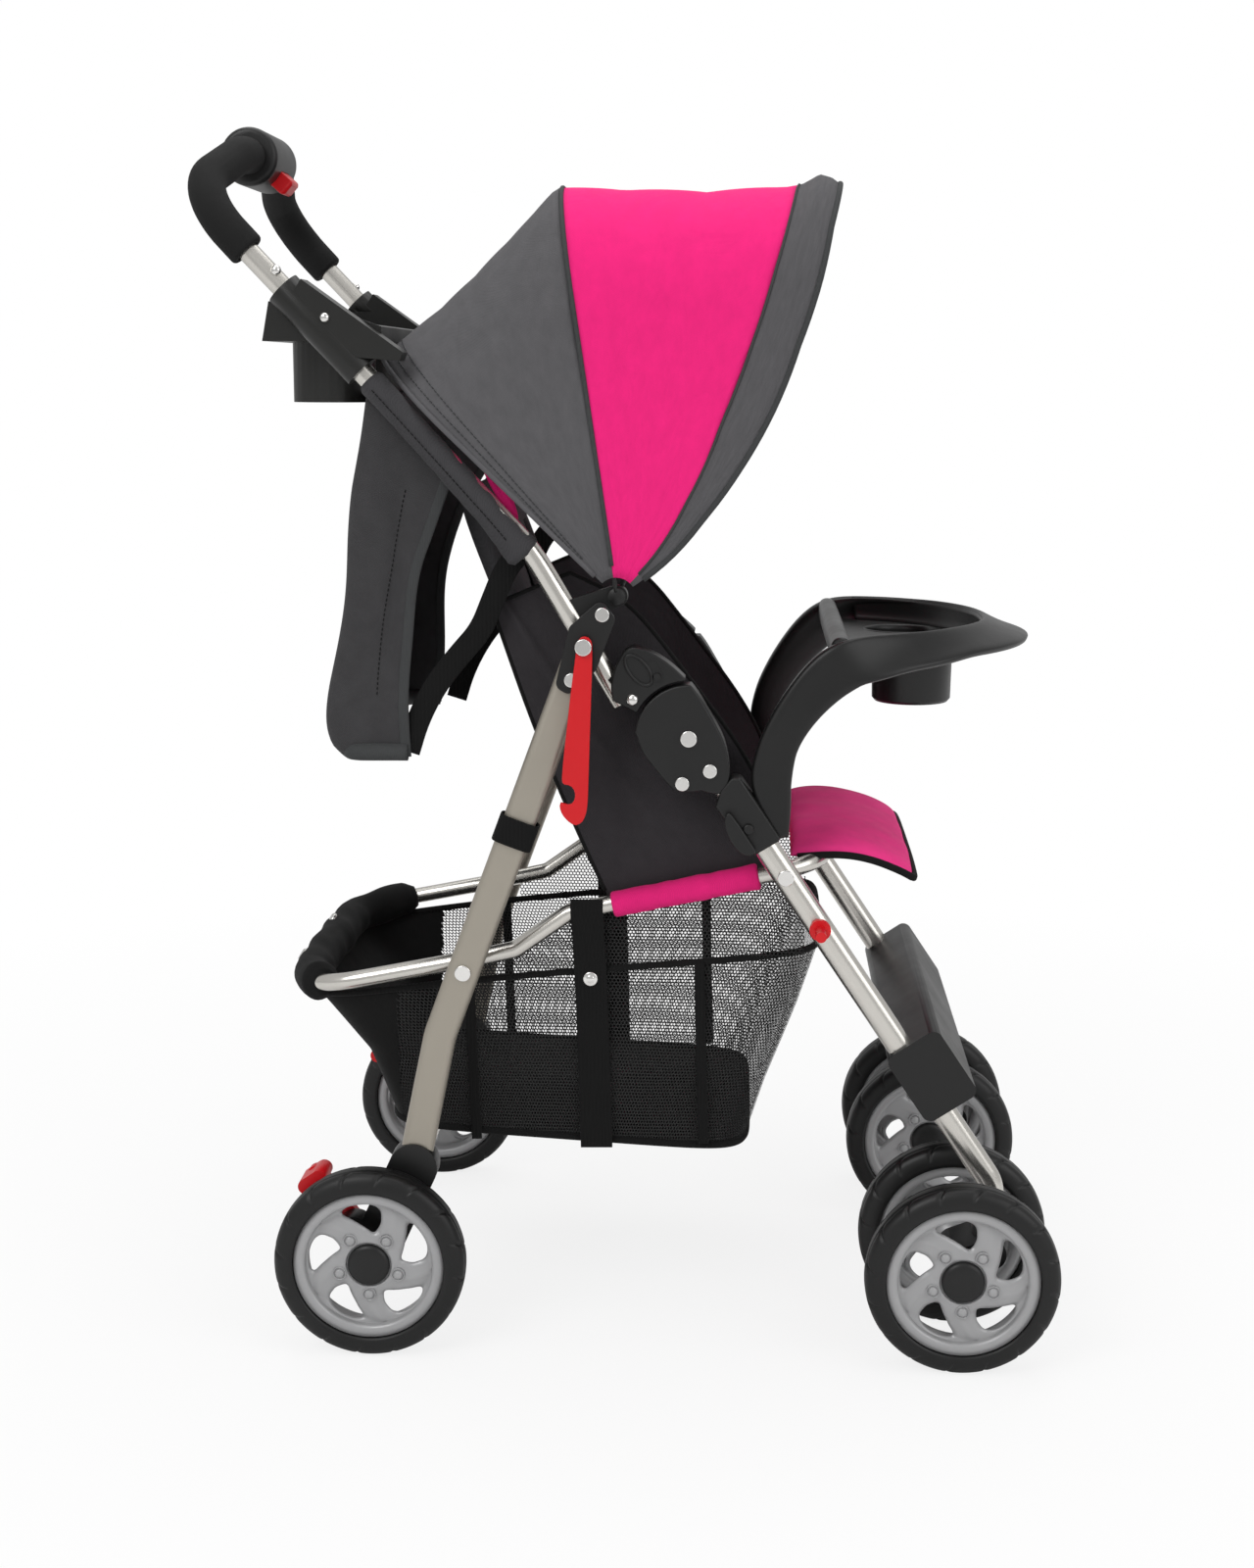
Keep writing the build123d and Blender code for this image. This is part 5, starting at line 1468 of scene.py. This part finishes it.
# rivet heads on the handle tube and on the tray brackets
rivetLook = {"profile": [(0, 3.0), (2.2, 2.6), (3.6, 1.5), (4.2, 0), (4.2, -1.5), (0, -1.5)],
             "spots": [(-287.0, 183.0, 914.0), (-247.0, 189.0, 876.5)]}
heads = rivetHeads("handleRivets", rivetLook["profile"], rivetLook["spots"])
dress(heads, finishes["chrome"], "handle_frame")

# tray sockets along the front legs, in steps up the leg and across it, and a half-round finger button on each
clipLook = {"base": (132.5, 416.5), "up": (-0.559, 0.829), "y": (-187.8, -161.2), "edge": 2.4,
            "socket": [(30, 14), (33, 15.5), (92, 15.5), (97, 9), (93, -4), (84, -15.5), (38, -15.5),
                       (31, -10)],
            "button": [(107, 442.0), (85.5, 474.5), (82.0, 473.5), (80.2, 465.0), (83.9, 452.4),
                       (91.2, 441.4), (98.4, 437.0), (105.6, 438.0)],
            "buttonY": (-194.4, -190.3), "buttonEdge": 1.4, "stemAt": (100.5, 190.6, 459.0),
            "stem": [(0, 1), (4.4, 1), (4.4, -4.6), (0, -4.6)]}
upLeg = np.array(clipLook["up"])
acrossLeg = np.array([upLeg[1], -upLeg[0]])
legFoot = np.array(clipLook["base"])
socket = [legFoot + along * upLeg + across * acrossLeg for along, across in clipLook["socket"]]
sockets = platePair("traySockets", socket, *clipLook["y"], clipLook["edge"])
dress(sockets, finishes["black"], "front_frame")
thumb = smoothLoop(clipLook["button"], 40)
for side, sign in bothSides:
    low, high = sorted(-sign * y for y in clipLook["buttonY"])
    plate = plateShell(f"trayButton_{side}", thumb, low, high, clipLook["buttonEdge"])
    x, y, z = clipLook["stemAt"]
    stem = turned("stem", clipLook["stem"], (x, sign * y, z), (0, sign, 0), 20)
    button = joinPieces(f"trayButton_{side}", [plate, stem])
    dress(button, finishes["black"], f"tray_button_body_{side}")
    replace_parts(button, f"tray_button_{side}")

# fold hook: narrow at its pivot, wider towards the notch, as thick as its CAD node
hookLook = {"outline": [(-41.0, 615.7), (-39.3, 620.5), (-34.6, 622.4), (-30.3, 620.0), (-28.5, 614.6),
                        (-29.4, 577.0), (-31.0, 530.0), (-32.0, 494.0), (-32.8, 478.5), (-35.4, 469.0),
                        (-41.4, 464.0), (-47.6, 466.5), (-54.2, 474.0), (-56.2, 481.5), (-54.6, 484.6),
                        (-50.8, 482.2), (-46.4, 481.8), (-43.2, 486.0), (-42.6, 492.0), (-45.2, 497.4),
                        (-50.0, 499.0), (-54.2, 498.6), (-52.6, 520.0), (-49.4, 548.0), (-46.2, 577.0),
                        (-43.2, 600.0)], "edge": 0.8}
hookFaces = [corner[1] * 1000 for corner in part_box("fold_hook")]
hook = plateShell("foldHook", smoothLoop(hookLook["outline"], 110, 1), *hookFaces, hookLook["edge"])
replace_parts(dress(hook, finishes["red"], "hook_body"), "fold_hook")
print("locks made")


# floor, light and camera
studioLook = {"floor": 0.88, "world": 0.5, "mirror": 0.6, "keep": 0.82, "fadeFrom": 0.45, "fadeTo": 1.5}


# what the camera sees is mixed towards plain white, fully so far out, so shadows stay only near the wheels
def makeFloor():
    ticks = np.linspace(-1, 1, 3) * 9000.0
    x, y = np.meshgrid(ticks, ticks, indexing="ij")
    floor = gridMesh("floor", np.stack([x, y, 0 * x], -1))
    material, tree, shader, out = startMaterial("paleFloor")
    shader.inputs["Base Color"].default_value = (studioLook["floor"],) * 3 + (1.0,)
    shader.inputs["Roughness"].default_value = 0.8
    glow = addNode(tree, "ShaderNodeEmission", Color=(1.0, 1.0, 1.0, 1.0), Strength=1.0)
    place = addNode(tree, "ShaderNodeNewGeometry")
    away = addNode(tree, "ShaderNodeVectorMath", {"operation": "LENGTH"}, i0=place.outputs["Position"])
    fade = addNode(tree, "ShaderNodeMapRange", Value=away.outputs["Value"])
    limits = {"From Min": studioLook["fadeFrom"], "From Max": studioLook["fadeTo"],
              "To Min": studioLook["keep"], "To Max": 1.0}
    for key, value in limits.items():
        fade.inputs[key].default_value = value
    rays = addNode(tree, "ShaderNodeLightPath")
    share = mathNode(tree, "MULTIPLY", fade.outputs[0], rays.outputs["Is Camera Ray"])
    mix = addNode(tree, "ShaderNodeMixShader", i0=share, i1=shader.outputs[0], i2=glow.outputs[0])
    link(tree, mix.outputs[0], out.inputs["Surface"])
    floor.data.materials.append(material)


# the world lights evenly; it is plain white to the camera and through glass, and less bright in reflections
def makeWorld():
    world = bpy.data.worlds.new("studio")
    scene.world = world
    world.use_nodes = True
    tree = world.node_tree
    back = tree.nodes["Background"]
    back.inputs["Color"].default_value = (1.0, 1.0, 1.0, 1.0)
    rays = addNode(tree, "ShaderNodeLightPath")
    seen = mathNode(tree, "MAXIMUM", rays.outputs["Is Camera Ray"], rays.outputs["Is Transmission Ray"])
    glossy = mathNode(tree, "MULTIPLY", rays.outputs["Is Glossy Ray"], studioLook["mirror"])
    seen = mathNode(tree, "MAXIMUM", seen, glossy)
    link(tree, mathNode(tree, "MAXIMUM", seen, studioLook["world"]), back.inputs["Strength"])


# place in metres, size and power of each lamp, all aimed at one spot
lampLook = {"keyLamp": ((-1.6, -2.4, 2.8), 1.8, 48), "fillLamp": ((2.4, -1.8, 1.8), 2.2, 26),
            "topLamp": ((0.0, 0.4, 3.2), 2.4, 36)}
lampTarget = (0, 0, 0.5)


# a square area lamp aimed at the target
def addLamp(name, place, size, power):
    lamp = bpy.data.lights.new(name, "AREA")
    lamp.size = size
    lamp.energy = power
    obj = bpy.data.objects.new(name, lamp)
    obj.location = place
    obj.rotation_euler = (Vector(lampTarget) - Vector(place)).to_track_quat("-Z", "Y").to_euler()
    scene.collection.objects.link(obj)


makeFloor()
makeWorld()
for name, (place, size, power) in lampLook.items():
    addLamp(name, place, size, power)

cameraLook = {"place": (0.0953, -1.9840, 0.8327), "pitch": 0.185, "yaw": -0.0536, "roll": 0.0031,
              "lens": 50.36}


# the view direction comes from pitch and yaw, then the picture is turned by roll
def makeCamera(look):
    camera = bpy.data.cameras.new("photoCamera")
    camera.lens = look["lens"]
    camera.sensor_width = 36.0
    camera.sensor_height = 36.0
    camera.sensor_fit = "AUTO"
    camera.clip_end = 60.0
    obj = bpy.data.objects.new("photoCamera", camera)
    level = math.cos(look["pitch"])
    ahead = Vector((math.sin(look["yaw"]) * level, math.cos(look["yaw"]) * level, -math.sin(look["pitch"])))
    right = ahead.cross(Vector((0, 0, 1))).normalized()
    up = right.cross(ahead)
    leaned = math.cos(look["roll"]) * right + math.sin(look["roll"]) * up
    facing = Matrix((leaned, leaned.cross(ahead), -ahead)).transposed().to_4x4()
    obj.matrix_world = Matrix.Translation(look["place"]) @ facing
    scene.collection.objects.link(obj)
    scene.camera = obj


makeCamera(cameraLook)
scene.view_settings.view_transform = "Standard"
